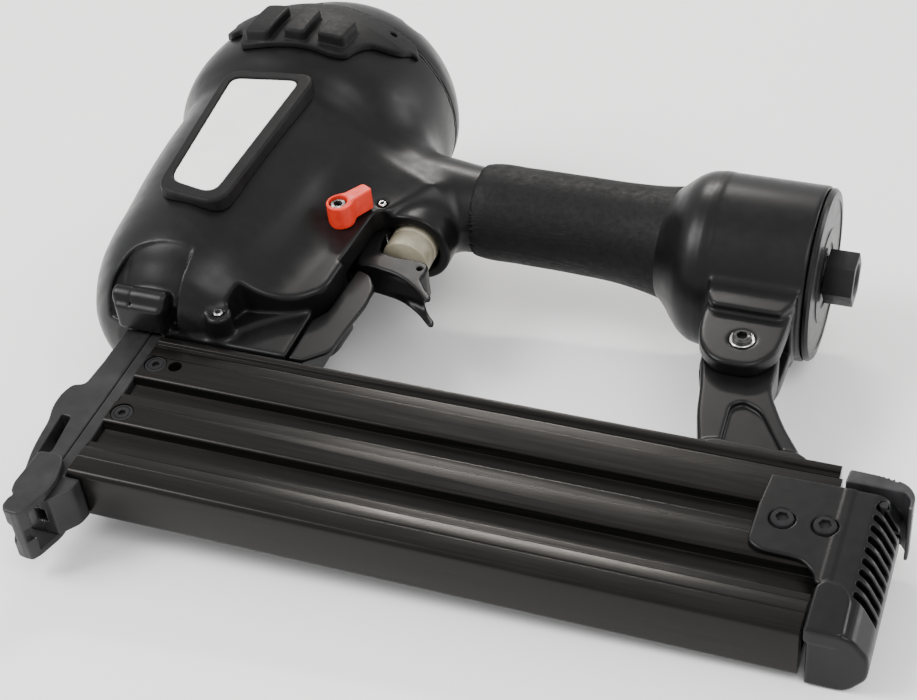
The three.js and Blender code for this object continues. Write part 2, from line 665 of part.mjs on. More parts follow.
// Half of the ribbed section from the bottom up: [half width, height].
const RIB_PROFILE = [
  [10.6, MAGAZINE.bottom], [MAGAZINE.halfWidth, 26.4], [MAGAZINE.halfWidth, 35], [11.6, 44], [8.4, 44.4],
  [8.4, 54], [11.8, 54.4], [MAGAZINE.halfWidth, 56], [MAGAZINE.halfWidth, 66], [10.6, 68], [10.6, 72.4],
  [8.4, 72.8], [8.4, 81.6], [MAGAZINE.halfWidth, 82], [MAGAZINE.halfWidth, 96], [11.2, 97],
  [11.2, MAGAZINE.top],
];

// Half of the hollow inside it, also from the bottom up.
const CAVITY_HALF = [
  [9.4, 29], [9.4, 41], [6.2, 42.6], [6.2, 56.8], [9.4, 58.4], [9.4, 64.8], [6.2, 66.8], [6.2, 83.4],
  [9.4, 84.6], [9.4, 94.4], [6.2, 95.6], [6.2, MAGAZINE.top],
];

function magazineSection() {
  const leftFace = RIB_PROFILE.map(([half, z]) => [-half, z]).reverse();
  const cavityDown = [...CAVITY_HALF].reverse();
  const cavityUp = CAVITY_HALF.map(([half, z]) => [-half, z]);
  return [...RIB_PROFILE, ...cavityDown, ...cavityUp, ...leftFace];
}

const TAIL_SCREWS = [[279.2, 73], [294.8, 73.4]];
const LINER_SCREWS = [[11, 91], [11, 61]];

function movableMagazine() {
  const profile = prism('x', MAGAZINE.front, MAGAZINE.end, magazineSection());
  const tailHoles = TAIL_SCREWS.map(([x, z]) => rod('y', 2.6, -20, -5, [x, 0, z], 10));
  const linerHoles = LINER_SCREWS.map(([x, z]) => turned('y', [
    [0, -20], [4.6, -20], [4.6, -12], [2.3, -9.6], [2.3, 0], [0, 0],
  ], [x, 0, z], 14));
  const sightHole = rod('y', 2, -20, -5, [20, 0, 91], 10);
  return cut(profile, ...tailHoles, ...linerHoles, sightHole);
}

add('movable_magazine', movableMagazine(), anodisedBlack);

function magazineLiner() {
  const plate = block(MAGAZINE.front + 0.4, 46, -5.9, -1.2, 31, 100.6);
  return cut(plate, ...LINER_SCREWS.map(([x, z]) => rod('y', 2.3, -10, -2.4, [x, 0, z], 12)));
}

add('magazine_liner', magazineLiner(), brightSteel);

const LINER_SCREW_PROFILE = [
  [0, -12.2], [4.2, -12.2], [4.2, -11.9], [2, -9.5], [2, -2.8], [0, -2.8],
];

function linerScrew() {
  const screw = turned('y', LINER_SCREW_PROFILE, [0, 0, 0], 14);
  return cut(screw, hexBar('y', 3, -14, -10.8, [0, 0, 0]));
}

LINER_SCREWS.forEach(([x, z], i) => add(`liner_screw_${i + 1}`, linerScrew(), blackSteel, [x, 0, z]));

function fixedMagazine() {
  const rail = prism('x', MAGAZINE.front, RAIL.end, [
    [-MAGAZINE.halfWidth, RAIL.bottom], [1.2, RAIL.bottom], [1.2, 34], [4.4, 34], [4.4, RAIL.bottom],
    [9.8, RAIL.bottom], [9.8, RAIL.top], [-MAGAZINE.halfWidth, RAIL.top],
  ]);
  return cut(rail, block(287.4, 292.4, -5.2, 1.1, 100, 106));
}

add('fixed_magazine', fixedMagazine(), anodisedBlack);

function pusher() {
  const blade = block(17, 52, -0.8, 0.8, 36, 96);
  const carriage = block(51.8, 66, -5.6, 0.8, 36, 96);
  return cut(join(blade, carriage), block(54, 70, -3.8, 0, 46, 88));
}

add('pusher', pusher(), brightSteel);
add('pusher_spring', coilSpring('x', [0, -2.8, 40.5], 2.3, 0.35, 66.6, 290, 12, 6), springSteel);

// ---------------------------------------------------------------- tail cover and latch

function tailCover() {
  const half = COVER.halfWidth;
  const shell = prism('z', COVER.bottom, COVER.top, [
    [COVER.front, -half, 1], [COVER.back - 4, -half, 3], [COVER.back, -half + 5, 3],
    [COVER.back, half - 5, 3], [COVER.back - 4, half, 3], [COVER.front, half, 1],
  ]);
  const tab = prism('y', -half, -MAGAZINE.halfWidth - GAP, [
    [269.4, COVER.top, 2], [269, 58, 3], [292, 57, 4], [298, 49],
    [COVER.front + 1, 49], [COVER.front + 1, COVER.top],
  ]);
  const hollow = block(COVER.front - 5, COVER.back - 6, -half + 3, half - 3, COVER.bottom + 4, 84);
  const vents = Array.from({ length: 9 }, (unused, i) => {
    const z = 44 + i * 5.4;
    return prism('y', -40, -6, [[314, z + 1.4], [325, z - 4.4], [325, z - 7], [314, z - 1.2]]);
  });
  const pinHole = rod('y', 1.8, -40, 40, [LATCH.x, 0, LATCH.z], 10);
  const latchWell = join(block(290, 330, -5, 5, 84, 120), pinHole);
  const screwWells = TAIL_SCREWS.map(([x, z]) => rod('y', 2.7, -30, -10, [x, 0, z], 12));
  const screwSeats = TAIL_SCREWS.map(([x, z]) => rod('y', 4.8, -30, -half + 0.9, [x, 0, z], 16));
  const backWall = join(cut(shell, hollow), tab);
  return cut(backWall, latchWell, ...vents, ...screwWells, ...screwSeats);
}

add('tail_cover', tailCover(), castingBlack);
TAIL_SCREWS.forEach(([x, z], i) => {
  const seat = -COVER.halfWidth + 0.6;
  const screw = socketScrew(4.3, 3.4, 2.3, 9.4);
  add(`tail_screw_${i + 1}`, screw, blackSteel, [x, seat - 3.4, z]);
});

// A thumb tab across the top of the cover, with a tongue that reaches forward under the notch in
// the fixed rail.
function latchLever() {
  const half = COVER.halfWidth - 0.2;
  const tab = prism('y', -half, half, [
    [297.4, 97.8], [298, 104.4, 1], [315, 103.6, 1], [320.4, 101.6, 2], [323.4, 97.4, 2],
    [323.2, 86.6, 0.5], [321.9, 86.6, 0.5], [321.9, 94.4, 2], [319.4, 97.8],
  ]);
  const stem = prism('y', -4.6, 4.6, [[308, 98], [308.6, 86, 2], [317, 86, 2], [317.6, 98]]);
  const tongue = prism('y', -4.6, 0.6, [
    [288.4, 96.6], [288.4, 101], [290.2, 101.6, 0.5], [291.4, 100.2], [299, 99.8], [299, 98.2], [293, 96.6],
  ]);
  return cut(join(tab, stem, tongue), rod('y', 2.1, -20, 20, [LATCH.x, 0, LATCH.z], 12));
}

add('latch_lever', latchLever(), blackSteel);
add('latch_pin', rod('y', 1.6, -13.8, 13.8, [LATCH.x, 0, LATCH.z], 10), brightSteel);

// ---------------------------------------------------------------- bracket leg

function bracketLeg() {
  const leg = prism('y', -7, 7, [
    [226.5, 181, 3], [226, 160], [231, 140, 4], [240, RAIL.top + GAP], [281, RAIL.top + GAP, 1],
    [258, 147, 6], [259, 158, 3], [255, 181, 3],
  ]);
  const foot = block(240, 283, -8.6, 8.6, RAIL.top + GAP, RAIL.top + 4);
  const panel = prism('y', -20, -4.6, [[244, 113], [270, 113], [254, 138, 8], [244, 140, 2]]);
  return cut(join(leg, foot), panel, rod('y', 2.8, -20, 20, [BRACKET.x, 0, BRACKET.z], 12));
}

add('bracket_leg', bracketLeg(), castingBlack);

function bracketBolt() {
  const head = rod('y', 4.4, -18.6, -14.4, [BRACKET.x, 0, BRACKET.z], 16);
  const shank = rod('y', 2.4, -14.5, 17.6, [BRACKET.x, 0, BRACKET.z], 12);
  return cut(join(head, shank), hexBar('y', 4.2, -20, -16, [BRACKET.x, 0, BRACKET.z]));
}

function bracketNut() {
  const hexagon = hexBar('y', 8, 14.3, 18.4, [BRACKET.x, 0, BRACKET.z]);
  return cut(hexagon, rod('y', 2.6, 0, 30, [BRACKET.x, 0, BRACKET.z], 12));
}

add('bracket_bolt', bracketBolt(), brightSteel);
add('bracket_nut', bracketNut(), brightSteel);

// ---------------------------------------------------------------- assembly

tool.rotation.set(REST_TILT - Math.PI / 2, 0, REST_ROLL);

// The origin is the middle of the ground that the lying tool covers.
const nailer = new THREE.Group();
nailer.add(tool);
nailer.updateMatrixWorld(true);
const bounds = new THREE.Box3().setFromObject(nailer, true);
const middle = bounds.getCenter(new THREE.Vector3());
nailer.position.set(-middle.x, -middle.y, -bounds.min.z);

export default nailer;
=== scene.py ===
"""Pneumatic floor nailer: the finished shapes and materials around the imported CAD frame.

Shapes are made in the tool's own millimetres: X back along the magazine, Z up the drive axis and
-Y towards the visible left side. Cast and moulded pieces are distance fields turned into meshes,
extrusions are swept outlines, and screws are turned profiles.
"""

import json
import math

import bmesh
import bpy
import numpy as np
import openvdb
from mathutils import Matrix, Vector


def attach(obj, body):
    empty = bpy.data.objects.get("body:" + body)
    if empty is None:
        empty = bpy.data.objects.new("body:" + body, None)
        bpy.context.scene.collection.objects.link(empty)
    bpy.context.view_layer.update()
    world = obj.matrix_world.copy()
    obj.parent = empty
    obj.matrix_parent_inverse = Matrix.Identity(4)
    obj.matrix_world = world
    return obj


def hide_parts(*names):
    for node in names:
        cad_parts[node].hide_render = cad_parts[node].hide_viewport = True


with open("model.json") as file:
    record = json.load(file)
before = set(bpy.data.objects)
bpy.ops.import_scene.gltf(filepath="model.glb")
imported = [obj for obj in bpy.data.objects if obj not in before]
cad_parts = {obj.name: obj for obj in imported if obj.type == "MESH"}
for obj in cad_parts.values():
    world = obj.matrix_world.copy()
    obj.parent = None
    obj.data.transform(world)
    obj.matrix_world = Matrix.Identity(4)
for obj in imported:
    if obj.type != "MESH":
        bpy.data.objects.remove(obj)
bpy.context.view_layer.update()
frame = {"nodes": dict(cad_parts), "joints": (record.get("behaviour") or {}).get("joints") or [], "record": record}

# ---------------------------------------------------------------- the tool's frame

JOINTS = {joint["name"]: joint for joint in frame["joints"]}
TRIGGER_PIN = (68, 0, 207)
SPRING_PIN = (29, 118)  # X and Z of pins that lie across the tool, as are the next two
LATCH_PIN = (313, 90)
BRACKET_BOLT = (242.3, 165)
MM = 0.001


def joint_axis(name):
    return Vector(JOINTS[name]["axis"]).normalized()


def tool_matrix():
    """Takes a point in the tool's millimetres to the row frame in metres."""
    x, z = joint_axis("magazine_slide"), joint_axis("contact_trip")
    turn = Matrix((x, z.cross(x), z)).transposed().to_4x4()
    pivot = Vector(JOINTS["trigger_pull"]["pos_m"])
    scale = Matrix.Scale(MM, 4)
    return Matrix.Translation(pivot - turn @ (Vector(TRIGGER_PIN) * MM)) @ turn @ scale


TOOL = tool_matrix()

# ---------------------------------------------------------------- materials

NOISE_LOW, NOISE_HIGH = 0.3, 0.7  # the span that nearly all of a noise's values fall in
NOISE_ROUGHNESS = 0.55


class Shader:
    """A node material around one Principled shader, with helpers for its patterns."""

    def __init__(self, name):
        self.material = bpy.data.materials.new(name)
        self.material.use_nodes = True
        self.tree = self.material.node_tree
        self.surface = self.tree.nodes["Principled BSDF"]
        place = self.node("ShaderNodeTexCoord")
        self.place = place.outputs["Object"]

    def node(self, kind, **values):
        made = self.tree.nodes.new(kind)
        for key, value in values.items():
            setattr(made, key, value)
        return made

    def link(self, source, target):
        self.tree.links.new(source, target)

    def fixed(self, **values):
        for key, value in values.items():
            self.surface.inputs[key.replace("_", " ")].default_value = value

    def stretched(self, x, y, z):
        mapping = self.node("ShaderNodeMapping")
        mapping.inputs["Scale"].default_value = (x, y, z)
        self.link(self.place, mapping.inputs["Vector"])
        return mapping.outputs["Vector"]

    def noise(self, scale, detail=4.0, where=None):
        made = self.node("ShaderNodeTexNoise")
        made.inputs["Scale"].default_value = scale
        made.inputs["Detail"].default_value = detail
        made.inputs["Roughness"].default_value = NOISE_ROUGHNESS
        self.link(where or self.place, made.inputs["Vector"])
        return made.outputs["Fac"]

    def cells(self, scale):
        made = self.node("ShaderNodeTexVoronoi", feature="SMOOTH_F1")
        made.inputs["Scale"].default_value = scale
        self.link(self.place, made.inputs["Vector"])
        return made.outputs["Distance"]

    def spread(self, source, low, high, from_low=NOISE_LOW, from_high=NOISE_HIGH):
        """Maps a source's from_low to from_high onto low to high."""
        made = self.node("ShaderNodeMapRange")
        made.inputs["From Min"].default_value = from_low
        made.inputs["From Max"].default_value = from_high
        made.inputs["To Min"].default_value = low
        made.inputs["To Max"].default_value = high
        self.link(source, made.inputs["Value"])
        return made.outputs["Result"]

    def tint(self, source, low, high):
        """A colour that varies with a noise between two shades."""
        made = self.node("ShaderNodeValToRGB")
        first, last = made.color_ramp.elements
        first.position, first.color = NOISE_LOW, (*low, 1)
        last.position, last.color = NOISE_HIGH, (*high, 1)
        self.link(source, made.inputs["Fac"])
        return made.outputs["Color"]

    def worn(self, color, bright, low, high, patchiness):
        """Bare metal showing where the surface is convex (low to high pointiness) and rubbed."""
        edge = self.spread(self.node("ShaderNodeNewGeometry").outputs["Pointiness"], 0, 1, low, high)
        patches = self.spread(self.noise(patchiness, 3.0), 0.0, 1.0, 0.4, 0.62)
        amount = self.node("ShaderNodeMath", operation="MULTIPLY")
        self.link(edge, amount.inputs[0])
        self.link(patches, amount.inputs[1])
        mix = self.node("ShaderNodeMix", data_type="RGBA")
        self.link(amount.outputs[0], mix.inputs["Factor"])
        self.link(color, mix.inputs["A"])
        mix.inputs["B"].default_value = (*bright, 1)
        return mix.outputs["Result"]

    def color(self, source):
        self.link(source, self.surface.inputs["Base Color"])

    def roughness(self, source):
        self.link(source, self.surface.inputs["Roughness"])

    def bumps(self, *layers):
        """Each layer is (height source, strength, depth in metres)."""
        below = None
        for source, strength, depth in layers:
            made = self.node("ShaderNodeBump")
            made.inputs["Strength"].default_value = strength
            made.inputs["Distance"].default_value = depth
            self.link(source, made.inputs["Height"])
            if below is not None:
                self.link(below, made.inputs["Normal"])
            below = made.outputs["Normal"]
        self.link(below, self.surface.inputs["Normal"])


def cast_black():
    s = Shader("satin_black_casting")
    s.fixed(Metallic=0.0, Specular_IOR_Level=0.2)
    base = s.tint(s.noise(35, 5.0), (0.0035, 0.0035, 0.0038), (0.0055, 0.0055, 0.0058))
    s.color(s.worn(base, (0.08, 0.08, 0.085), 0.56, 0.66, 260))
    s.roughness(s.spread(s.noise(220, 3.0), 0.3, 0.38))
    s.bumps((s.noise(1500, 2.0), 0.10, 0.0002), (s.noise(60, 3.0), 0.03, 0.001))
    return s.material


def grip_rubber():
    s = Shader("pebbled_grip_rubber")
    s.fixed(Metallic=0.0, Specular_IOR_Level=0.14)
    s.color(s.tint(s.noise(400, 4.0), (0.0035, 0.0035, 0.0038), (0.0075, 0.0075, 0.0078)))
    s.roughness(s.spread(s.noise(300, 2.0), 0.50, 0.66))
    s.bumps((s.cells(900), 0.35, 0.0003), (s.noise(1600, 3.0), 0.3, 0.0002))
    return s.material


def guard_rubber():
    s = Shader("moulded_black_rubber")
    s.fixed(Metallic=0.0, Specular_IOR_Level=0.14)
    s.color(s.tint(s.noise(90, 4.0), (0.004, 0.004, 0.0043), (0.008, 0.008, 0.0083)))
    s.roughness(s.spread(s.noise(500, 3.0), 0.48, 0.6))
    s.bumps((s.noise(1300, 3.0), 0.16, 0.0002), (s.noise(120, 2.0), 0.05, 0.001))
    return s.material


def anodised():
    s = Shader("black_anodised_extrusion")
    s.fixed(Metallic=0.0, Specular_IOR_Level=0.17, Specular_Tint=(1.0, 0.95, 0.9, 1.0))
    along = s.stretched(0.02, 1, 1)
    s.color(s.tint(s.noise(900, 3.0, where=along), (0.003, 0.0028, 0.0027), (0.006, 0.0056, 0.0053)))
    s.roughness(s.spread(s.noise(700, 4.0, where=along), 0.20, 0.28))
    s.bumps((s.noise(1400, 3.0, where=along), 0.02, 0.0001), (s.noise(900, 2.0), 0.01, 0.0001))
    return s.material


def oxide_steel(name, dark, light, worn_from):
    s = Shader(name)
    s.fixed(Metallic=0.0, Specular_IOR_Level=0.25)
    base = s.tint(s.noise(70, 6.0), (dark, dark, dark * 1.06), (light, light, light * 1.04))
    s.color(s.worn(base, (0.42, 0.41, 0.39), worn_from, worn_from + 0.1, 140))
    s.roughness(s.spread(s.noise(260, 4.0), 0.34, 0.5))
    s.bumps((s.noise(900, 4.0), 0.12, 0.0002), (s.noise(110, 3.0), 0.06, 0.001))
    return s.material


def matt_steel():
    s = Shader("matt_black_steel")
    s.fixed(Metallic=0.0, Specular_IOR_Level=0.06)
    s.color(s.tint(s.noise(90, 5.0), (0.01, 0.01, 0.011), (0.026, 0.026, 0.027)))
    s.roughness(s.spread(s.noise(300, 3.0), 0.46, 0.6))
    s.bumps((s.noise(800, 3.0), 0.08, 0.0002))
    return s.material


def bare_steel():
    s = Shader("bare_steel")
    s.fixed(Metallic=1.0)
    s.color(s.tint(s.noise(200, 4.0), (0.42, 0.42, 0.43), (0.62, 0.61, 0.6)))
    s.roughness(s.spread(s.noise(600, 3.0), 0.2, 0.34))
    s.bumps((s.noise(2200, 2.0), 0.05, 0.0001))
    return s.material


def dark_screw():
    s = Shader("black_screw_steel")
    s.fixed(Metallic=0.8)
    base = s.tint(s.noise(300, 4.0), (0.03, 0.03, 0.032), (0.055, 0.055, 0.057))
    s.color(s.worn(base, (0.55, 0.54, 0.52), 0.55, 0.62, 300))
    s.roughness(s.spread(s.noise(700, 3.0), 0.26, 0.42))
    s.bumps((s.noise(2000, 2.0), 0.06, 0.0001))
    return s.material


def machined_aluminium():
    s = Shader("machined_aluminium")
    s.fixed(Metallic=1.0)
    s.color(s.tint(s.noise(500, 3.0), (0.5, 0.5, 0.51), (0.66, 0.66, 0.67)))
    s.roughness(s.spread(s.noise(400, 3.0), 0.24, 0.4))
    s.bumps((s.noise(1800, 2.0), 0.05, 0.0001))
    return s.material


def red_lever():
    s = Shader("red_lever_plastic")
    s.fixed(Metallic=0.0, Specular_IOR_Level=0.45)
    s.color(s.tint(s.noise(260, 4.0), (0.60, 0.022, 0.008), (0.74, 0.040, 0.014)))
    s.roughness(s.spread(s.noise(500, 3.0), 0.34, 0.46))
    s.bumps((s.noise(1400, 2.0), 0.06, 0.0002))
    return s.material


def cream_plastic():
    s = Shader("cream_valve_plastic")
    s.fixed(Metallic=0.0, Specular_IOR_Level=0.5)
    s.color(s.tint(s.noise(120, 5.0), (0.20, 0.18, 0.125), (0.34, 0.31, 0.23)))
    s.roughness(s.spread(s.noise(500, 3.0), 0.3, 0.42))
    s.bumps((s.noise(1200, 3.0), 0.06, 0.0002))
    return s.material


def white_label():
    s = Shader("blank_white_label")
    s.fixed(Metallic=0.0, Specular_IOR_Level=0.5, Coat_Weight=0.3, Coat_Roughness=0.2)
    s.color(s.tint(s.noise(50, 3.0), (0.86, 0.86, 0.85), (0.93, 0.93, 0.92)))
    s.roughness(s.spread(s.noise(300, 3.0), 0.34, 0.42))
    s.bumps((s.noise(500, 2.0), 0.02, 0.0002))
    return s.material


def seal_rubber():
    s = Shader("black_seal_rubber")
    s.fixed(Metallic=0.0)
    s.color(s.tint(s.noise(200, 3.0), (0.006, 0.006, 0.006), (0.012, 0.012, 0.012)))
    s.roughness(s.spread(s.noise(400, 3.0), 0.5, 0.7))
    s.bumps((s.noise(1500, 2.0), 0.1, 0.0002))
    return s.material


MATERIALS = {
    "casting": cast_black(),
    "handle_grip": grip_rubber(),
    "guard_rubber": guard_rubber(),
    "anodised": anodised(),
    "black_steel": oxide_steel("black_oxide_steel", 0.006, 0.012, 0.57),
    "rubbed_steel": oxide_steel("rubbed_oxide_steel", 0.009, 0.02, 0.545),
    "latch_steel": oxide_steel("rubbed_latch_steel", 0.016, 0.05, 0.53),
    "dark_screw": dark_screw(),
    "matt_screw": matt_steel(),
    "bright_steel": bare_steel(),
    "red_lever": red_lever(),
    "cream_plastic": cream_plastic(),
    "label_white": white_label(),
    "seal_rubber": seal_rubber(),
    "spring_steel": bare_steel(),
    "piston_aluminium": machined_aluminium(),
}
SLOT_OF = {part["node"]: part["material_slot"] for part in frame["record"]["subparts"]}
BODY_OF = {
    node: body
    for body, nodes in frame["record"]["behaviour"]["bodies"].items()
    for node in nodes
}


def finish_piece(piece, nodes, finish=None):
    """Gives a piece its material, picked by its first CAD node's slot unless a finish is named, and makes it stand
    for its CAD nodes.
    """
    first = nodes[0]
    piece.data.materials.clear()
    piece.data.materials.append(MATERIALS[finish or SLOT_OF[first]])
    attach(piece, BODY_OF[first])
    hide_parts(*nodes)


def new_object(name, mesh):
    made = bpy.data.objects.new(name, mesh)
    bpy.context.scene.collection.objects.link(made)
    return made


# ---------------------------------------------------------------- outlines


def rounded(corners, steps=5):
    """An outline through corners (a, b, rounding); no rounding takes over 0.45 of an edge."""
    points = []
    count = len(corners)
    for i, corner in enumerate(corners):
        here = np.array(corner[:2], float)
        rounding = corner[2] if len(corner) > 2 else 0.0
        before = np.array(corners[i - 1][:2], float) - here
        after = np.array(corners[(i + 1) % count][:2], float) - here
        lengths = np.hypot(*before), np.hypot(*after)
        reach = min(rounding, 0.45 * lengths[0], 0.45 * lengths[1])
        if reach <= 0:
            points.append(here)
            continue
        entry = here + before / lengths[0] * reach
        leave = here + after / lengths[1] * reach
        for t in np.linspace(0, 1, steps + 1):
            points.append((1 - t) ** 2 * entry + 2 * t * (1 - t) * here + t**2 * leave)
    return np.array(points)


def smooth_rows(rows, at):
    """Smoothly interpolates table rows (position, values...) at the given positions."""
    table = np.array(rows, float)
    knots, values = table[:, 0], table[:, 1:]
    slopes = np.gradient(values, knots, axis=0)
    at = np.clip(at, knots[0], knots[-1])
    i = np.clip(np.searchsorted(knots, at) - 1, 0, len(knots) - 2)
    width = (knots[i + 1] - knots[i])[:, None]
    t = ((at - knots[i])[:, None]) / width
    h00, h10 = 2 * t**3 - 3 * t**2 + 1, t**3 - 2 * t**2 + t
    h01, h11 = 3 * t**2 - 2 * t**3, t**3 - t**2
    return h00 * values[i] + h10 * width * slopes[i] + h01 * values[i + 1] + h11 * width * slopes[i + 1]


# ---------------------------------------------------------------- distance fields

BAND = 3.0  # samples kept on each side of a surface


class Field:
    """A box of the tool's frame, sampled every `step` millimetres."""

    def __init__(self, low, high, step):
        self.low, self.step = np.array(low, float), step
        counts = np.ceil((np.array(high, float) - self.low) / step).astype(int) + 1
        lines = [np.float32(self.low[i] + step * np.arange(counts[i])) for i in range(3)]
        self.lines = lines
        self.x = lines[0][:, None, None]
        self.y = lines[1][None, :, None]
        self.z = lines[2][None, None, :]

    def axes(self, axis):
        """The two directions across an axis, and the direction along it."""
        x, y, z = self.x, self.y, self.z
        return {"x": (y, z, x), "y": (x, z, y), "z": (x, y, z)}[axis]

    def rod(self, axis, centre, radius, low, high, edge=0.0):
        """A cylinder along an axis; centre holds the two other coordinates in X, Y, Z order."""
        a, b, along = self.axes(axis)
        across = np.hypot(a - centre[0], b - centre[1]) - radius
        return meet(across, between(along, low, high), edge)

    def box(self, low, high, edge=0.0):
        spans = [between(v, low[i], high[i]) + edge for i, v in enumerate((self.x, self.y, self.z))]
        outside = np.sqrt(sum(np.maximum(s, 0) ** 2 for s in spans))
        return outside + np.minimum(np.maximum(np.maximum(spans[0], spans[1]), spans[2]), 0) - edge

    def plate(self, axis, corners, low, high, edge=0.0, shift=None):
        """An outline across an axis, as thick as low to high; shift moves the along coordinate."""
        a, b, along = self.axes(axis)
        if shift is not None:
            along = along + shift
        return meet(outline_distance(rounded(corners), a, b), between(along, low, high), edge)

    def skin(self, axis, rows, cap=0.0):
        """Elliptical sections (position, centre, half, half width) joined smoothly along an axis."""
        line = self.lines[{"x": 0, "z": 2}[axis]]
        table = smooth_rows(rows, line.astype(float)).astype(np.float32)
        shape = (-1, 1, 1) if axis == "x" else (1, 1, -1)
        centre, half, width = (table[:, i].reshape(shape) for i in range(3))
        slope = np.gradient(table[:, 1], self.step).astype(np.float32).reshape(shape)
        across = self.z if axis == "x" else self.x
        radial = np.sqrt(((across - centre) / half) ** 2 + (self.y / width) ** 2)
        distance = (radial - 1) * np.minimum(half, width) / np.sqrt(1 + slope**2)
        along = self.x if axis == "x" else self.z
        return meet(distance, between(along, rows[0][0], rows[-1][0]), cap)


def between(values, low, high):
    return np.maximum(low - values, values - high)


def ramp(t):
    t = np.clip(t, 0, 1)
    return t * t * (3 - 2 * t)


def meet(a, b, edge=0.0):
    """The overlap of two fields, with its edge rounded."""
    if edge <= 0:
        return np.maximum(a, b)
    a, b = a + edge, b + edge
    outside = np.sqrt(np.maximum(a, 0) ** 2 + np.maximum(b, 0) ** 2)
    return np.minimum(np.maximum(a, b), 0) + outside - edge


def weld(a, b, fillet=0.0):
    """Two fields joined, with a fillet between them."""
    if fillet <= 0:
        return np.minimum(a, b)
    h = np.clip(0.5 + 0.5 * (b - a) / fillet, 0, 1)
    return b * (1 - h) + a * h - fillet * h * (1 - h)


def carve(a, b, fillet=0.0):
    """The first field with the second one cut out of it."""
    return -weld(-a, b, fillet)


def outline_distance(points, a, b):
    """Signed distance from a closed outline in a plane."""
    nearest = None
    inside = False
    for (ax, ay), (bx, by) in zip(points, np.roll(points, -1, axis=0)):
        ex, ey = bx - ax, by - ay
        px, py = a - np.float32(ax), b - np.float32(ay)
        t = np.clip((px * ex + py * ey) / max(ex * ex + ey * ey, 1e-12), 0, 1)
        gap = (px - ex * t) ** 2 + (py - ey * t) ** 2
        nearest = gap if nearest is None else np.minimum(nearest, gap)
        if by != ay:
            crosses = ((b >= ay) != (b >= by)) & (a < (b - ay) * (ex / ey) + ax)
            inside = inside ^ crosses
    return np.where(inside, -1, 1).astype(np.float32) * np.sqrt(nearest)


def sampled(values, spots):
    """Values of a field at points given in samples."""
    limit = np.array(values.shape) - 1.001
    spots = np.clip(spots, 0, limit)
    low = spots.astype(int)
    part = spots - low
    total = 0
    for corner in range(8):
        step = [(corner >> i) & 1 for i in range(3)]
        share = np.prod([part[:, i] if step[i] else 1 - part[:, i] for i in range(3)], axis=0)
        total = total + share * values[low[:, 0] + step[0], low[:, 1] + step[1], low[:, 2] + step[2]]
    return total


def meshed(name, field, values):
    """A closed mesh object where the field's values pass through zero."""
    step = field.step
    values = np.clip(values, -BAND * step, BAND * step).astype(np.float32)
    grid = openvdb.FloatGrid(BAND * step)
    grid.copyFromArray(values)
    spots, quads = grid.convertToQuads(0.0)
    spots = spots.astype(float)
    for _ in range(2):
        slope = gradient(values, spots) / step
        spots -= slope * (sampled(values, spots) / np.maximum((slope**2).sum(1), 1e-6) / step)[:, None]
    normals = gradient(values, spots)
    normals /= np.maximum(np.linalg.norm(normals, axis=1), 1e-9)[:, None]
    points = field.low + spots * step
    turn = np.array(TOOL.to_3x3()) / MM
    mesh = bpy.data.meshes.new(name)
    mesh.from_pydata(points @ (turn * MM).T + np.array(TOOL.translation), [], quads[:, ::-1].tolist())
    mesh.update()
    face = mesh.polygons[0]
    if face.normal.dot(Vector(turn @ normals[face.vertices[0]])) < 0:
        mesh.flip_normals()
    mesh.shade_smooth()
    mesh.normals_split_custom_set_from_vertices((normals @ turn.T).tolist())
    return new_object(name, mesh)


def gradient(values, spots):
    reach = np.eye(3) * 0.75
    return np.stack([sampled(values, spots + r) - sampled(values, spots - r) for r in reach], axis=1) / 1.5


# ---------------------------------------------------------------- turned and swept pieces

AXIS_TURN = {
    "x": Matrix.Rotation(math.pi / 2, 4, "Y"),
    "y": Matrix.Rotation(-math.pi / 2, 4, "X"),
    "z": Matrix.Identity(4),
}


def turned(name, axis, profile, centre, segments=64, cutters=()):
    """Spins a closed (radius, along) profile round an axis through centre."""
    bm = bmesh.new()
    rings = []
    for radius, along in profile:
        if radius <= 1e-6:
            rings.append([bm.verts.new((0, 0, along))])
            continue
        angles = [2 * math.pi * i / segments for i in range(segments)]
        rings.append([bm.verts.new((radius * math.cos(a), radius * math.sin(a), along)) for a in angles])
    closed = len(rings[0]) > 1
    pairs = zip(rings, rings[1:] + rings[:1]) if closed else zip(rings, rings[1:])
    for low, high in pairs:
        for i in range(segments):
            j = (i + 1) % segments
            corners = [low[i % len(low)], low[j % len(low)], high[j % len(high)], high[i % len(high)]]
            kept = list(dict.fromkeys(corners))
            if len(kept) > 2:
                bm.faces.new(kept)
    return solid_object(name, bm, TOOL @ Matrix.Translation(centre) @ AXIS_TURN[axis], cutters)


def swept(name, axis, corners, low, high, bevel=0.0, cutters=(), steps=5, smooth=30):
    """Extrudes an outline along an axis of the tool."""
    bm = bmesh.new()
    points = rounded(corners, steps)
    place = {
        "x": lambda a, b, c: (c, a, b),
        "y": lambda a, b, c: (a, c, b),
        "z": lambda a, b, c: (a, b, c),
    }[axis]
    ends = [[bm.verts.new(place(a, b, c)) for a, b in points] for c in (low, high)]
    bm.faces.new(ends[0])
    bm.faces.new(ends[1])
    for i in range(len(points)):
        j = (i + 1) % len(points)
        bm.faces.new((ends[0][i], ends[0][j], ends[1][j], ends[1][i]))
    return solid_object(name, bm, TOOL, cutters, bevel, smooth)


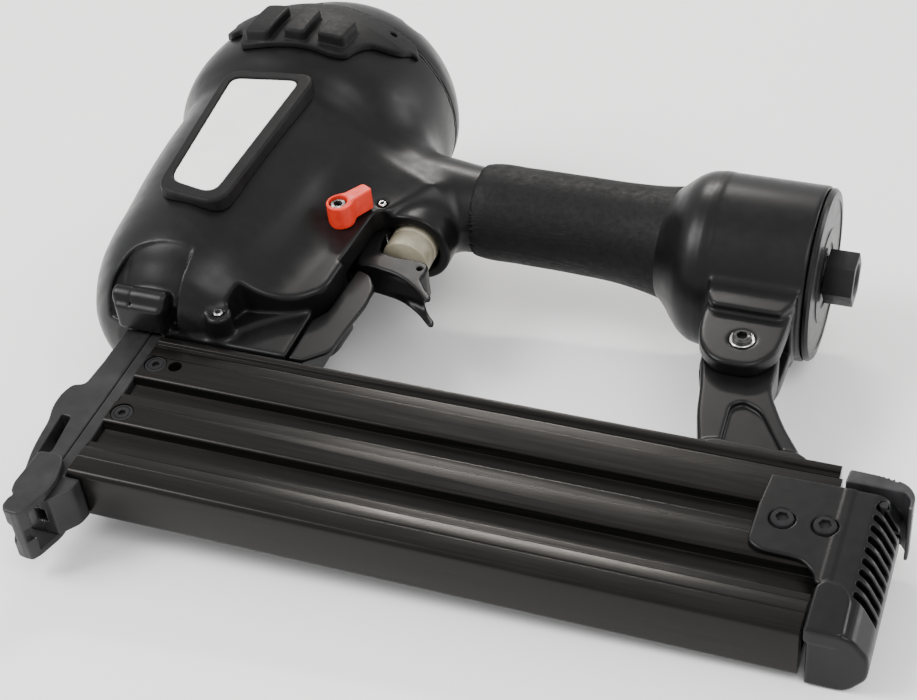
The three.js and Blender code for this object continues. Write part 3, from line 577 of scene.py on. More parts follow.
def solid_object(name, bm, matrix, cutters=(), bevel=0.0, smooth=30):
    bmesh.ops.transform(bm, matrix=matrix, verts=bm.verts)
    bmesh.ops.remove_doubles(bm, verts=bm.verts, dist=1e-7)
    bmesh.ops.recalc_face_normals(bm, faces=bm.faces)
    mesh = bpy.data.meshes.new(name)
    bm.to_mesh(mesh)
    bm.free()
    made = new_object(name, mesh)
    for cutter in cutters:
        cut = made.modifiers.new("cut", "BOOLEAN")
        cut.operation, cut.solver, cut.object = "DIFFERENCE", "EXACT", cutter
    if bevel > 0:
        edge = made.modifiers.new("edge", "BEVEL")
        edge.width, edge.segments, edge.limit_method = bevel * MM, 2, "ANGLE"
        edge.angle_limit = math.radians(40)
    if made.modifiers:
        apply_modifiers(made)
    for cutter in cutters:
        bpy.data.objects.remove(cutter)
    made.data.shade_smooth()
    made.data.set_sharp_from_angle(angle=math.radians(smooth))
    return made


def apply_modifiers(made):
    bpy.context.view_layer.update()
    evaluated = made.evaluated_get(bpy.context.evaluated_depsgraph_get())
    mesh = bpy.data.meshes.new_from_object(evaluated)
    made.modifiers.clear()
    made.data = mesh


def hex_cutter(axis, flats, low, high, centre):
    radius = flats / math.sqrt(3)
    return turned("cutter", axis, [(0, low), (radius, low), (radius, high), (0, high)], centre, 6)


def drill(axis, radius, low, high, centre, segments=48):
    return turned("cutter", axis, [(0, low), (radius, low), (radius, high), (0, high)], centre, segments)


# ---------------------------------------------------------------- casting

BARREL = [
    (112, 0, 22, 20), (115, 0.1, 29, 27.6), (120, 0.3, 35, 34), (128, 0.5, 40, 39.4),
    (138, 0.6, 43.9, 43.5), (150, 0.6, 46.3, 46), (166, 0.7, 48.1, 47.8), (191, 0.8, 51.1, 50.9),
    (214, 0.9, 52.9, 52.7), (232, 1, 53.7, 53.5), (240, 1.1, 54.8, 54.4), (247, 1.4, 57.8, 57),
    (254, 1.8, 61, 60), (262, 2.4, 63.3, 61.7), (272, 3, 64.2, 62), (288, 4.4, 63.4, 60.6),
    (300, 5.5, 61.4, 58.6),
]
CAP = [
    (300, 5.5, 61.4, 58.6), (306, 8, 58.4, 56.4), (313, 9.6, 54.2, 53.4), (320, 10.2, 49.8, 49.4),
    (330, 10.6, 41.4, 41.3), (337, 10.6, 33.2, 33.2), (343, 10.6, 21.8, 21.8), (346.2, 10.6, 8, 8),
]
HEAD = BARREL[:-1] + CAP
NECK = [
    (30, 232, 32, 27), (62, 237, 25.4, 23.4), (82, 238, 22.6, 21.5), (103, 237.5, 20.4, 19.6),
    (150, 237, 21, 20.2), (190, 235.8, 22, 21.2),
]
TAIL_SLOPE = [
    (188, 234.4, 20, 20), (193, 233.6, 24.4, 24), (197, 232.6, 27.6, 27.2), (201, 231.4, 31.6, 31.3),
    (205, 230.4, 35.2, 35), (209, 229.8, 37.4, 37.3), (213, 229.5, 38.3, 38.3), (218, 229.5, 38.4, 38.4),
]
TAIL_Z = 229.5
TAIL_RADIUS = 38.4
VALVE_X = 82
PAD_FACE = -20
LEVER_X, LEVER_Z, LEVER_FACE = 55, 190, -20.3
CAP_SCREWS = [(2.5 + 50 * math.cos(a), 50 * math.sin(a)) for a in np.radians((45, 135, 225, 315))]


def body_housing():
    f = Field((-66, -66, 107), (265, 66, 303), 0.9)
    barrel = f.skin("z", BARREL, 1.5)
    neck = f.skin("x", NECK)
    tail = weld(f.skin("x", TAIL_SLOPE), f.rod("x", (0, TAIL_Z), TAIL_RADIUS, 214, 260.6, 1.2), 1)
    pad = f.plate("y", [
        (8, 126), (38, 131.5, 6), (57, 137.5, 7), (66, 146, 7), (67.6, 196, 4), (74, 206, 3), (86, 224),
        (20, 246),
    ], PAD_FACE, 20, 2.4)
    cup = f.rod("z", (VALVE_X, 0), 17.6, 200, 240, 2.2)
    casting = weld(weld(barrel, neck, 20), pad, 13)
    casting = weld(casting, cup, 5)
    casting = weld(casting, tail, 6)
    casting = carve(casting, nose_pocket(f, barrel), 0.8)
    casting = carve(casting, shaded_underside(f), 1)
    casting = weld(casting, f.box((4, -10.4, 111), (61, 10.4, 140), 1.5), 3)
    casting = weld(casting, nose_lug(f), 1.5)
    casting = weld(casting, pin_boss(f), 3)
    casting = weld(casting, leg_fork(f), 2.5)
    return meshed("main_casting", f, carve_inside(f, casting, barrel))


def nose_pocket(f, barrel):
    """The shallow recess in the barrel above the nose plate, sharp along its rear edge."""
    outline = [(-24, 100), (-22.5, 120, 6), (-16, 131, 8), (-2, 134, 6), (13, 135), (11.8, 121), (10, 100)]
    depth = 5 * ramp((137 - f.z) / 15) * ramp((f.x + 25) / 9)
    return np.maximum(-(barrel + depth), f.plate("y", outline, -70, -12))


def shaded_underside(f):
    """The space set back under the pad's lower edge, behind the spring pin's boss."""
    outline = [
        (25, 100), (29.6, 121, 4), (32.8, 132.6, 2), (38, 133.2, 2), (42, 133.8), (58, 137.2, 8),
        (67.6, 143.4, 2), (74, 138), (74, 100),
    ]
    return f.plate("y", outline, -70, -11)


def nose_lug(f):
    """The cross bar in the recess, split by a joint line."""
    centre = (-25.6, 115)
    bar = f.rod("x", centre, 4.3, -17.5, 7.5, 1.4)
    web = f.box((-15.5, -25, 108), (6.5, -12, 119), 1.5)
    joint = np.maximum(f.rod("x", centre, 6, -8.6, -8), -f.rod("x", centre, 3.9, -20, 20))
    return carve(weld(bar, web, 3), joint, 0.3)


def pin_boss(f):
    ear = f.rod("y", SPRING_PIN, 5.6, -21.6, 21, 1.2)
    return carve(ear, f.rod("y", SPRING_PIN, 2.5, -30, -13))


def leg_fork(f):
    """The forked boss under the tail that holds the top of the bracket leg."""
    fork = f.plate("y", [
        (222, 222), (223, 172, 5), (225.4, 160, 9), (233.6, 150, 9), (250, 150, 9), (257.8, 160, 9),
        (258.6, 172, 5), (258.6, 222),
    ], -14.2, 14.2, 1.6)
    shelf = f.plate("y", [
        (220.4, 214), (222.4, 186, 1), (226, 179.8, 2), (254.8, 179.8, 2), (258.8, 188, 2), (259.4, 214),
    ], -17.8, 17.8, 1)
    slot = f.box((215, -7.4, 120), (264, 7.4, 184.6))
    bolt = f.rod("y", BRACKET_BOLT, 5.4, -30, -12.6, 0.4)
    return carve(carve(weld(fork, shelf, 1.5), slot), bolt, 0.6)


def carve_inside(f, casting, barrel):
    """Bores, the trigger's slot and the link's slot."""
    bores = [
        np.maximum(barrel + 4, between(f.z, 148, 286)),
        f.rod("z", (0, 0), 30.6, 128.2, 150),
        f.rod("z", (0, 0), 42, 280, 310),
        f.rod("z", (0, 0), 8.5, 100, 140),
        f.rod("x", (0, 237), 15.5, 30, 240),
        f.rod("x", (0, TAIL_Z), 34.6, 224, 270),
        f.rod("z", (VALVE_X, 0), 11.4, 180, 237),
        f.rod("y", (TRIGGER_PIN[0], TRIGGER_PIN[2]), 2.5, -40, 40),
        f.rod("y", (LEVER_X, LEVER_Z), 3.4, -40, 30),
        f.box((-9, 10.2, 100), (72, 14.4, 124)),
        f.box((57.4, 10.2, 100), (72, 14.4, 190)),
        f.box((62.3, -9.8, 100), (84, 9.8, 143)),
        *[f.rod("z", spot, 2.9, 286, 310) for spot in CAP_SCREWS],
    ]
    for bore in bores:
        casting = np.maximum(casting, -bore)
    arch = f.plate("y", [(64.6, 165), (66.4, 199, 3), (69.4, 203.4, 4), (112, 203.4), (112, 165)], -50, 50)
    casting = carve(casting, arch, 1)
    well = f.rod("z", (VALVE_X, 0), 12.8, 170, 214, 1)
    slot = f.box((57, -8.9, 170), (75, 8.9, 214))
    return carve(casting, weld(well, slot, 2), 1.2)


def head_cap():
    f = Field((-60, -63, 298), (76, 63, 350), 0.8)
    shell = f.skin("z", CAP, 0)
    shell = np.maximum(shell, 301 - f.z)
    shell = carve(shell, f.rod("z", (0, 0), 42, 290, 313, 2))
    for spot in CAP_SCREWS:
        well = f.rod("z", spot, 5, 308.2, 350)
        shell = carve(carve(shell, well, 1), f.rod("z", spot, 2.9, 290, 320))
    return meshed("head_cap_shell", f, shell)


# ---------------------------------------------------------------- guard and label

GUARD_EDGE = [
    (-19.4, 256.4, 2), (-9, 256.2, 8), (3.4, 258.2, 8), (15.7, 259.7, 8), (26, 259.8, 5), (31.6, 262.4, 4),
    (34.4, 271.5, 6), (38.4, 278.4, 5), (43.7, 281.2, 5), (48.6, 285.5, 3), (51.5, 293, 2), (54.5, 293.4, 2),
    (50, 303, 4), (40, 309, 8), (0, 311, 10), (-30, 306, 4), (-40, 297, 2), (-42, 291, 1), (-37, 287, 2),
    (-33, 280, 2), (-36, 274, 2), (-31, 270.4, 1), (-25.4, 271.4, 2), (-22, 266, 3),
]
GUARD_BLOCKS = [
    [(-17.4, 258.6, 2.5), (-4, 257.4, 2.5), (-2.2, 281, 3), (-15.8, 283.4, 3)],
    [(2.4, 260.4, 2.5), (12.8, 260.6, 2.5), (13.6, 281.4, 3), (4, 283, 3)],
    [(18, 262.8, 2.5), (30, 265.8, 2.5), (31.4, 281.6, 3), (20, 279.4, 3)],
]


def head_guard():
    f = Field((-46, -74, 250), (62, -12, 316), 0.55)
    head = f.skin("z", HEAD)
    thickness = 3.2 * np.clip((306 - f.z) / 18, 0, 1)
    sheet = meet(head - thickness, f.plate("y", GUARD_EDGE, -90, -14), 0.7)
    guard = np.maximum(sheet, 0.35 - head)
    for corners in GUARD_BLOCKS:
        block = meet(meet(head - 8.2, f.plate("y", corners, -90, -14), 1.2), 0.5 - head)
        guard = weld(guard, block, 0.6)
    for x, z in ((41.6, 296), (-34.5, 296)):
        guard = carve(guard, f.rod("y", (x, z), 1.6, -90, -10), 0.4)
    return meshed("rubber_guard", f, guard)


LABEL_LEAN = 0.07
LABEL = [(-14.4, 236.4, 5), (18.6, 240.8, 5.5), (12.4, 159.2, 7), (-11, 163.6, 6)]
LABEL_FRAME = [(-18.6, 241.6, 9), (25.2, 246.4, 9), (18.4, 153, 10), (-15, 156.6, 9)]


def label_frame():
    f = Field((-24, -64, 149), (30, -34, 251), 0.5)
    lean = (f.z - 162) * np.float32(LABEL_LEAN)
    barrel = f.skin("z", BARREL)
    frame_body = f.plate("y", LABEL_FRAME, -51.8, -30, 1.5, shift=lean)
    pocket = f.plate("y", LABEL, -64, -50.4, 0, shift=lean)
    body = carve(frame_body, pocket, 0.4)
    return meshed("label_surround", f, np.maximum(body, 0.35 - barrel))


def label_plate():
    f = Field((-17, -60, 156), (22, -47, 244), 0.4)
    lean = (f.z - 162) * np.float32(LABEL_LEAN)
    inset = [(x * 0.985 + 0.05, 199 + (z - 199) * 0.993, corner) for x, z, corner in LABEL]
    return meshed("blank_label", f, f.plate("y", inset, -51.1, -49.8, 0.3, shift=lean))


# ---------------------------------------------------------------- handle


def grip_sleeve():
    f = Field((101, -30, 205), (199, 30, 266), 0.7)
    outer = f.skin("x", [
        (103.3, 237.8, 21.4, 20.8), (106, 237.9, 22, 21.4), (125, 238, 22.5, 21.9), (150, 237.8, 22.7, 22.1),
        (175, 236.8, 23.4, 22.8), (188, 235.6, 24.8, 24.2), (196.7, 234.8, 26.4, 25.8),
    ], 0.7)
    inner = f.skin("x", [
        (100, 237.5, 20.9, 20.1), (150, 237.2, 21.2, 20.5), (190, 235.8, 22.3, 21.5), (200, 235.3, 24, 23),
    ])
    return meshed("rubber_grip", f, np.maximum(outer, -inner))


def end_plate():
    profile = [
        (8.4, 256), (33.6, 256), (33.6, 260.9), (37.2, 260.9), (37.7, 261.4), (37.7, 262.6), (36.6, 263.8),
        (33.4, 264), (33, 263.5), (21, 263.5), (20.6, 264), (14.6, 264), (14.2, 263.4), (8.8, 263.4),
        (8.4, 263),
    ]
    return turned("tail_end_plate", "x", profile, (0, 0, TAIL_Z), 96)


def air_fitting():
    centre = (0, 0, TAIL_Z)
    radius = 21 / math.sqrt(3)
    hexagon = [(radius * math.cos(a), TAIL_Z + radius * math.sin(a), 0.6)
               for a in np.radians(np.arange(0, 360, 60) + 30)]
    inlet = [(0, 240), (5, 240), (5, 266), (6.4, 267), (6.4, 275.6), (8, 277.4), (8, 280), (0, 280)]
    bore = turned("cutter", "x", inlet, centre, 48)
    head = swept("air_inlet_hex", "x", hexagon, 264.3, 277, 0.5, [bore], 3)
    stem = turned("stem", "x", [(5.2, 244), (7.9, 244), (7.9, 264.8), (5.2, 264.8)], centre, 48)
    return joined(head, stem)


def joined(first, *others):
    """Adds the other objects' meshes to the first object."""
    bm = bmesh.new()
    for made in (first, *others):
        bm.from_mesh(made.data)
    bm.to_mesh(first.data)
    bm.free()
    for made in others:
        bpy.data.objects.remove(made)
    return first


# ---------------------------------------------------------------- trigger, valve and lever


def trigger():
    f = Field((58, -11, 158), (110, 11, 214), 0.4)
    side = [
        (62.6, 204, 2.5), (64.4, 210.6, 3.5), (71, 210.6, 3.5), (70.4, 199, 3), (72, 189.6, 3),
        (78, 187.2, 2), (93.6, 187, 2), (97.6, 184.8, 2), (98.2, 179, 2), (97.4, 175.4, 1), (101.4, 170, 2),
        (106.2, 165.4, 1.5), (106.8, 162.4, 1.2), (104.4, 161.8, 1.2), (97.6, 168.4, 6), (86.5, 175.6, 8),
        (72, 178.2, 8), (65.4, 177.6, 3), (63, 188, 4),
    ]
    body = f.plate("y", side, -8, 8, 1.2)
    finger = f.rod("y", (84, 142), 34, -6.4, 6.4, 3)
    body = carve(body, finger, 1.5)
    inside = f.plate("y", [
        (58, 192), (66, 181), (86, 180.2, 3), (95, 177.5, 2), (95, 186, 1), (76, 184.4), (74, 196),
        (76, 216), (58, 216),
    ], -6.4, 6.4, 0.6)
    body = carve(body, inside, 0.6)
    body = np.maximum(body, -f.rod("y", (TRIGGER_PIN[0], TRIGGER_PIN[2]), 2.2, -20, 20))
    body = carve(body, f.rod("y", (94.4, 181.6), 1.3, -20, -5.5), 0.3)
    return meshed("trigger_lever", f, body)


def valve_housing():
    profile = [
        (2.7, 192.7), (9.6, 192.7), (10.6, 193.1), (11, 193.9), (11, 201), (10.5, 201.5), (10.5, 203),
        (11, 203.5), (11, 233), (6.4, 233), (6.4, 199), (2.7, 199),
    ]
    return turned("valve_body", "z", profile, (VALVE_X, 0, 0), 80)


def safety_lever():
    f = Field((44, -35, 180), (68, -18, 213), 0.3)
    front = LEVER_FACE - 11.4
    hub = f.rod("y", (LEVER_X + 0.6, LEVER_Z), 5.9, front, LEVER_FACE, 0.7)
    arm = f.plate("y", [
        (51.8, 192), (58.8, 188), (66, 201.6, 1.4), (65.6, 203, 1.4), (61.6, 205, 1.2), (60.2, 204.6, 1),
    ], front, LEVER_FACE - 0.8, 0.8)
    body = weld(hub, arm, 1.5)
    body = carve(body, f.rod("y", (LEVER_X, LEVER_Z), 4.2, LEVER_FACE - 20, LEVER_FACE - 6), 0.3)
    return meshed("red_safety_lever", f, np.maximum(body, -f.rod("y", (LEVER_X, LEVER_Z), 2.9, -50, 0)))


def lever_screw():
    profile = [(0, -10.3), (3.2, -10.3), (3.9, -9.6), (3.9, -6.3), (2.4, -6.3), (2.4, 17), (0, 17)]
    centre = (LEVER_X, LEVER_FACE, LEVER_Z)
    return turned("lever_screw", "y", profile, centre, 48, [hex_cutter("y", 3.8, -14, -7.6, centre)])


def pin(name, radius, low, high, x, z):
    face = radius - 0.4
    profile = [(0, low), (face, low), (radius, low + 0.4), (radius, high - 0.4), (face, high), (0, high)]
    bore = drill("y", radius * 0.6, low - 2, low + 4, (x, 0, z), 32)
    return turned(name, "y", profile, (x, 0, z), 40, [bore])


# ---------------------------------------------------------------- nose and contact safety

NOSE_SIDE = [
    (-13.4, 110.6), (-13.4, 89), (-14.3, 74.5, 3), (-19.4, 72.8, 2), (-21.3, 67, 3), (-21.2, 59, 4),
    (-18.4, 50.7, 3), (-17.7, 43, 5), (-16.3, 33.4, 4), (-11.9, 17.3, 3), (-9.4, 10.6, 1), (-1.4, 10.6),
    (-1.4, 110.6),
]


def nose_front():
    f = Field((-26, -13, 8), (4, 13, 146), 0.42)
    plate = f.plate("y", NOSE_SIDE, -10, 10, 0.9)
    tongue = f.plate("y", [(-13.4, 108), (-13.4, 126, 2), (-9, 126, 2), (-1.6, 110.6), (-1.6, 108)], -10, -4)
    body = carve(plate, f.box((-3.2, -3.3, 0), (2, 3.3, 130)))
    window = [(-12.9, 33.1, 1), (-14.6, 55.4, 1), (-10.2, 55, 1), (-7.9, 35.7, 1), (-9.6, 33.4, 1)]
    body = carve(body, f.plate("y", window, -20, 20), 0.7)
    for z in (101, 82):
        for y in (-6.2, 6.2):
            body = carve(body, f.rod("x", (y, z), 2.9, -30, -9.6), 0.2)
            body = np.maximum(body, -f.rod("x", (y, z), 2.1, -12, 5))
    relief = f.plate("y", [
        (-30, 78), (-15.4, 78, 2), (-15.4, 66, 2), (-18.6, 58, 3), (-16.4, 44, 3), (-14.2, 33), (-30, 33),
    ], -6.4, 6.4, 1.5)
    return meshed("nose_front", f, carve(body, relief, 1.2))


def nose_rear():
    f = Field((-3, -13, 8), (15, 13, 114), 0.42)
    body = f.plate("y", [
        (-1.1, 110.6), (4.6, 110.6), (4.6, 24.4), (11.5, 24.4, 1.5), (10.6, 18, 2), (5, 10.6, 1),
        (-1.1, 10.6),
    ], -10, 10, 0.8)
    body = carve(body, f.box((-4, -3.3, 0), (1.3, 3.3, 130)))
    return meshed("nose_rear", f, carve(body, f.box((-4, -0.9, 34), (12, 0.9, 100))))


def contact_foot():
    f = Field((-14, -15, -4), (8, 15, 35), 0.35)
    side = [
        (-10.4, 31.4, 1.5), (-2.7, 32, 2), (1, 31, 2.5), (2.9, 26, 2), (4.2, 20, 2), (4.2, 12, 3),
        (0.8, 1, 2), (-1.2, -2, 1), (-4.6, -2), (-7.9, -1.4, 1), (-9.6, 1.2, 1), (-9.4, 5, 1),
        (-8.4, 7.4, 1), (-10.2, 9, 1), (-11.4, 13, 3),
    ]
    body = f.plate("y", side, -13.6, 13.6, 0.9)
    body = carve(body, f.box((-30, -10.35, 2.2), (30, 10.35, 60), 0.4), 0.6)
    body = np.maximum(body, -f.box((-1.3, -3.3, -10), (1.3, 3.3, 10)))
    notch = f.box((-16, -5.2, -6), (-6.2, 5.2, 1.6), 1.2)
    return meshed("contact_foot_shoe", f, carve(body, notch, 0.8))


def contact_link():
    return swept("contact_link_bar", "y", [
        (-7, 32.6), (0, 32.6), (0, 108.4, 1), (66.6, 108.4, 1), (66.6, 172, 2), (60, 172, 2), (60, 113.4, 1),
        (-7, 113.4, 2)], 10.6, 13.5, 0.4)


def link_guide():
    f = Field((60, -12, 108), (86, 12, 175), 0.4)
    outer = f.plate("y", [
        (62.6, 111.5), (69, 111.5, 1), (78.4, 120, 3), (79.4, 133, 4), (81.6, 152, 4), (80.6, 163, 3),
        (76, 170, 2), (71, 172), (68.8, 172), (67, 143.4), (62.6, 136),
    ], -9.8, 9.8, 1)
    inside = f.plate("y", [(68.6, 100), (90, 100), (90, 180), (70.8, 180), (69, 142)], -7.6, 30, 0.6)
    return meshed("link_guide_plate", f, carve(outer, inside, 0.8))


# ---------------------------------------------------------------- magazine

MAGAZINE_X = (5.4, 296)
RIBS = [  # half width, height and rounding up one side of the extrusion
    (10.6, 24.6, 0.8), (12.3, 26.2, 0.9), (12.3, 33.4, 0.2), (11.95, 33.7, 0.1), (11.95, 34.1, 0.1),
    (12.2, 34.4, 0.2), (11.5, 40.2, 0.6), (10.5, 41, 0.3), (10.5, 44.2, 0.4), (7.4, 44.6, 0.4),
    (7.4, 54.4, 0.5), (11.7, 54.9, 0.5), (12.3, 56, 0.6), (12.3, 66.2, 0.3), (10.7, 67.6, 0.3),
    (10.7, 72.6, 0.4), (7.4, 73, 0.4), (7.4, 81.6, 0.5), (11.7, 82, 0.5), (12.3, 83.1, 0.6),
    (12.3, 95.2, 0.2), (12, 95.6, 0.2), (12, 100.6, 0.8), (11.2, 101.6, 0.4),
]
LINER_SCREWS = [(11, 91), (11, 61)]
TAIL_SCREWS = [(279.2, 73), (294.8, 73.4)]


def magazine_body():
    left = [(-half, z, rounding) for half, z, rounding in reversed(RIBS)]
    cavity = [(6.2, 101.6), (6.2, 30, 1), (-6.2, 30, 1), (-6.2, 101.6)]
    cutters = [drill("y", 5.0, -20, -11.2, (x, 0, z)) for x, z in LINER_SCREWS]
    cutters += [drill("y", 2.9, -20, -4, (20, 0, 91.4))]
    cutters += [drill("y", 2.6, -20, -4, (x, 0, z)) for x, z in TAIL_SCREWS]
    return swept("magazine_extrusion", "x", RIBS + cavity + left, *MAGAZINE_X, 0, cutters, 3, 28)


def fixed_rail():
    section = [
        (-12.3, 104.2, 0.4), (-12.3, 107, 0.5), (-11.8, 107.4, 0.2), (-9.4, 107.4, 0.2), (-9, 106.8, 0.2),
        (9.2, 106.8, 0.2), (9.8, 107.4, 0.2), (9.8, 102, 0.4), (4.4, 102), (4.4, 34), (1.2, 34), (1.2, 102),
        (-11, 102, 0.3), (-11, 103.6, 0.2),
    ]
    return swept("fixed_rail", "x", section, MAGAZINE_X[0], 294.6, 0, (), 3, 28)


def countersunk(name, x, z):
    profile = [(0, -12.1), (3.9, -12.1), (4.5, -11.9), (4.7, -11.5), (2, -9.3), (2, -2.8), (0, -2.8)]
    centre = (x, 0, z)
    groove = turned("cutter", "y", [(3.1, -13), (3.5, -13), (3.5, -11.8), (3.1, -11.8)], centre, 48)
    return turned(name, "y", profile, centre, 48, [hex_cutter("y", 3, -14, -10.6, centre), groove])


def socket_screw(name, x, z, face):
    profile = [(0, 0), (3.5, 0), (3.9, 0.12), (4.2, 0.4), (4.3, 0.8), (4.3, 1.9), (2.3, 1.9), (2.3, 9.4),
               (0, 9.4)]
    centre = (x, face, z)
    return turned(name, "y", profile, centre, 48, [hex_cutter("y", 4.4, -1.5, 1.5, centre)])


# ---------------------------------------------------------------- tail cover and latch

COVER = {"front": 298.4, "back": 320.5, "bottom": 24.2, "top": 94.6, "half": 14.6}
VENTS = {"count": 9, "lowest": 43.5, "pitch": 5.4}


def tail_cover():
    f = Field((266, -17, 22), (323, 17, 97), 0.42)
    half, back, front = COVER["half"], COVER["back"], COVER["front"]
    plan = [
        (front, -half, 0.6), (back - 7, -half, 4), (back - 0.6, -half + 8.5, 3), (back, -half + 12, 2),
        (back, half - 12, 2), (back - 0.6, half - 8.5, 3), (back - 7, half, 4), (front, half, 0.6),
    ]
    shell = f.plate("z", plan, COVER["bottom"], COVER["top"], 1.4)
    tab = f.plate("y", [
        (270.4, COVER["top"], 1.5), (269.2, 78), (269.2, 60, 4), (274, 56.6, 4), (290, 56, 6),
        (295.4, 51, 4), (296.6, 46.6, 2), (302, 46.6), (302, COVER["top"]),
    ], -half, -12.5, 0.9)
    body = weld(shell, tab, 1)
    lower = f.plate("y", [
        (297.2, 24.3, 1), (297.2, 45, 1.5), (300, 48.4, 1.5), (307, 47.6, 3), (310.6, 42, 4), (311, 24.3, 3),
    ], -half - 0.7, -8, 1.1)
    body = weld(body, lower, 0.6)
    hollow = f.box((front - 5, -half + 3, COVER["bottom"] + 4), (back - 5.5, half - 3, 84), 1)
    body = np.maximum(body, -hollow)
    for i in range(VENTS["count"]):
        z = VENTS["lowest"] + i * VENTS["pitch"]
        slot = [(310.5, z + 3.2, 1.2), (325, z - 3.8), (325, z - 6.8), (310.5, z + 0.2, 1.2)]
        body = carve(body, f.plate("y", slot, -40, -5, 0.4), 0.5)
    body = np.maximum(body, -f.box((290, -5, 84), (330, 5, 120)))
    body = np.maximum(body, -f.rod("y", LATCH_PIN, 1.8, -40, 40))
    for x, z in TAIL_SCREWS:
        body = carve(body, f.rod("y", (x, z), 4.9, -30, -half + 0.9), 0.35)
        body = np.maximum(body, -f.rod("y", (x, z), 2.7, -30, -10))
    return meshed("tail_cover_moulding", f, body)


def latch_lever():
    f = Field((286, -16, 84), (326, 16, 107), 0.35)
    half = COVER["half"] - 0.2
    tab = f.plate("y", [
        (297.4, 97.8, 0.5), (298, 104.4, 1.2), (314, 103.9, 1), (320, 102, 3), (323.4, 97.4, 3),
        (323.4, 90.4, 0.7), (321.9, 90.2, 0.7), (321.9, 94.6, 2), (319.4, 97.8, 1),
    ], -half, half, 0.7)
    for i in range(7):
        x = 304 + 1.9 * i
        tab = carve(tab, f.rod("y", (x, 104.8 - 0.05 * i * i), 0.75, -20, 20), 0.3)
    stem = f.plate("y", [(308, 99), (308.6, 86, 2), (317, 86, 2), (317.6, 99)], -4.6, 4.6, 0.4)
    tongue = f.plate("y", [
        (288.4, 96.6, 0.5), (288.4, 101, 0.5), (290.2, 101.6, 0.5), (291.4, 100.2, 0.5), (299, 99.8),
        (299, 98.2), (293, 96.6, 0.5),
    ], -4.6, 0.6)
    body = weld(weld(tab, stem, 0.6), tongue, 0.4)
    return meshed("latch_thumb_lever", f, np.maximum(body, -f.rod("y", LATCH_PIN, 2.1, -20, 20)))


# ---------------------------------------------------------------- bracket leg


def bracket_leg():
    f = Field((222, -11, 105), (286, 11, 184), 0.45)
    leg = f.plate("y", [
        (226.5, 181, 4), (226, 162, 6), (230.8, 142, 10), (233, 128, 8), (238.6, 108), (282, 108),
        (268, 128, 6), (258.6, 146, 8), (258.6, 160, 6), (255, 181, 4),
    ], -7, 7, 1.8)
    foot = f.plate("y", [(236.6, 107.8), (284, 107.8), (278, 113, 4), (243, 113, 4)], -8.6, 8.6, 0.8)
    body = weld(leg, foot, 3)
    panel = f.plate("y", [
        (246.4, 113.4, 1.5), (270.6, 113.4, 1.5), (257.4, 134, 8), (249.6, 137.4, 7), (245.4, 134, 4),
    ], -20, -4.8, 0.8)
    body = carve(body, panel, 1.4)
    return meshed("bracket_strut", f, np.maximum(body, -f.rod("y", BRACKET_BOLT, 2.8, -20, 20)))


def bracket_bolt():
    profile = [(0, -16.4), (3.3, -16.4), (4, -15.8), (4, -13.4), (2.4, -13.4), (2.4, 17.6), (0, 17.6)]
    centre = (BRACKET_BOLT[0], 0, BRACKET_BOLT[1])
    return turned("bracket_bolt_head", "y", profile, centre, 56, [hex_cutter("y", 4.2, -20, -14.2, centre)])


def bolt_washer():
    profile = [(2.9, -14.1), (2.9, -13.1), (5.2, -13.1), (5.2, -14.2), (4.9, -14.5), (4.3, -14.5)]
    made = turned("bracket_bolt_washer", "y", profile, (BRACKET_BOLT[0], 0, BRACKET_BOLT[1]), 56)
    made.data.materials.append(MATERIALS["bright_steel"])
    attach(made, "frame")


# ---------------------------------------------------------------- assembly

PIECES = [
    (body_housing, ["body_housing"], None),
    (head_cap, ["head_cap"], None),
    (head_guard, ["head_guard"], None),
    (label_frame, ["label_frame"], None),
    (label_plate, ["label_plate"], None),
    (grip_sleeve, ["grip_sleeve"], None),
    (end_plate, ["end_plate"], None),
    (air_fitting, ["air_fitting"], None),
    (trigger, ["trigger"], None),
    (valve_housing, ["valve_housing"], None),
    (safety_lever, ["safety_lever"], None),
    (lever_screw, ["safety_lever_screw"], "dark_screw"),
    (nose_front, ["nose_front_plate"], "rubbed_steel"),
    (nose_rear, ["nose_rear_plate"], "rubbed_steel"),
    (contact_foot, ["contact_foot"], "rubbed_steel"),
    (contact_link, ["contact_link"], None),
    (link_guide, ["link_guide"], "casting"),
    (magazine_body, ["movable_magazine"], None),
    (fixed_rail, ["fixed_magazine"], None),
    (tail_cover, ["tail_cover"], None),
    (latch_lever, ["latch_lever"], "latch_steel"),
    (bracket_leg, ["bracket_leg"], None),
    (bracket_bolt, ["bracket_bolt"], "black_steel"),
]
BLACKENED = ("latch_pin", "nose_screw_1", "nose_screw_2", "nose_screw_3", "nose_screw_4")


def dress_cad_nodes(done):
    """CAD nodes that keep their shape get their material."""
    for name, node in frame["nodes"].items():
        if name in done:
            continue
        node.data.materials.clear()
        node.data.materials.append(MATERIALS["matt_screw" if name in BLACKENED else SLOT_OF[name]])


def build():
    done = set()
    for make, nodes, finish in PIECES:
        finish_piece(make(), nodes, finish)
        done.update(nodes)
    for i, (x, z) in enumerate(LINER_SCREWS):
        node = f"liner_screw_{i + 1}"
        finish_piece(countersunk(f"countersunk_screw_{i + 1}", x, z), [node], "matt_screw")
        done.add(node)
    for i, (x, z) in enumerate(TAIL_SCREWS):
        node = f"tail_screw_{i + 1}"
        screw = socket_screw(f"cover_screw_{i + 1}", x, z, -COVER["half"] - 1)
        finish_piece(screw, [node], "matt_screw")
        done.add(node)
    finish_piece(pin("trigger_pivot", 1.9, -20.6, 20.6, TRIGGER_PIN[0], TRIGGER_PIN[2]), ["trigger_pin"])
    finish_piece(pin("front_spring_pin", 2.1, -22.3, -13.5, *SPRING_PIN), ["body_pin"])
    done.update(["trigger_pin", "body_pin"])
    bolt_washer()
    dress_cad_nodes(done)


build()

# ---------------------------------------------------------------- floor, light and camera

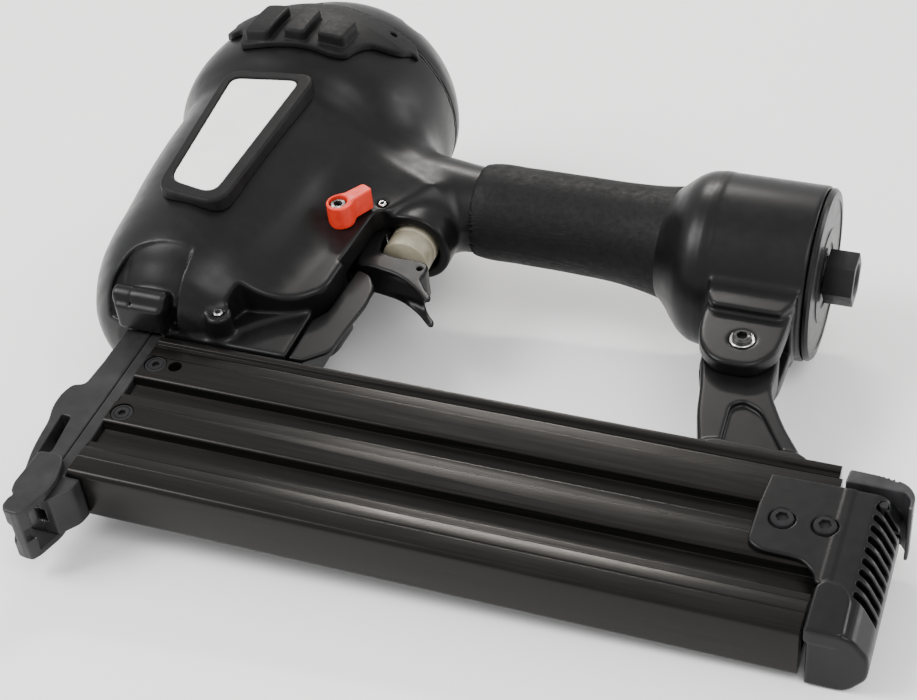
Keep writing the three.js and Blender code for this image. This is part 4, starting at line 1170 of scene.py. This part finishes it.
CAMERA_PLACE = (362.2, -506.2, -372.4)  # in the tool's frame, as are the two directions
CAMERA_RIGHT = (0.93521, 0.08634, 0.3434)
CAMERA_UP = (-0.16991, -0.74145, 0.64914)
LENS = 70.66


def floor():
    mesh = bpy.data.meshes.new("floor")
    reach = 6.0
    corners = [(-reach, -reach, 0), (reach, -reach, 0), (reach, reach, 0), (-reach, reach, 0)]
    mesh.from_pydata(corners, [], [(0, 1, 2, 3)])
    made = new_object("floor", mesh)
    s = Shader("pale_floor")
    s.fixed(Metallic=0.0, Specular_IOR_Level=0.2)
    s.color(s.tint(s.noise(3, 2.0), (0.93, 0.93, 0.93), (0.95, 0.95, 0.95)))
    s.roughness(s.spread(s.noise(20, 2.0), 0.7, 0.8))
    mesh.materials.append(s.material)


def area_light(name, place, aim, size, power, color=(1, 1, 1)):
    data = bpy.data.lights.new(name, "AREA")
    data.shape, data.size, data.size_y = "RECTANGLE", *size
    data.energy, data.color = power, color
    made = bpy.data.objects.new(name, data)
    made.location = place
    made.rotation_euler = (Vector(aim) - Vector(place)).to_track_quat("-Z", "Y").to_euler()
    bpy.context.scene.collection.objects.link(made)


def studio():
    world = bpy.data.worlds.new("studio")
    world.use_nodes = True
    sky = world.node_tree.nodes["Background"]
    sky.inputs["Color"].default_value = (1, 1, 1, 1)
    sky.inputs["Strength"].default_value = 1.05
    bpy.context.scene.world = world
    area_light("key", (-1.0, -0.6, 1.2), (0, 0, 0.05), (0.8, 0.8), 28)
    area_light("fill", (0.9, -0.7, 1.4), (0, 0, 0), (1.0, 0.8), 16)
    area_light("streak", (-0.25, 0.75, 0.77), (0.04, -0.13, 0.03), (0.34, 0.06), 5.5, (1, 0.95, 0.9))
    area_light("rim", (1.4, 0.9, 0.5), (0.1, 0, 0.05), (0.6, 0.6), 9)


def camera():
    data = bpy.data.cameras.new("camera")
    data.lens, data.sensor_width = LENS, 36
    data.clip_start, data.clip_end = 0.01, 20
    made = bpy.data.objects.new("camera", data)
    turn = TOOL.to_3x3() * (1 / MM)
    right, up = turn @ Vector(CAMERA_RIGHT), turn @ Vector(CAMERA_UP)
    axes = Matrix((right, up, right.cross(up))).transposed().to_4x4()
    made.matrix_world = Matrix.Translation(TOOL @ Vector(CAMERA_PLACE)) @ axes
    bpy.context.scene.collection.objects.link(made)
    bpy.context.scene.camera = made


floor()
studio()
camera()
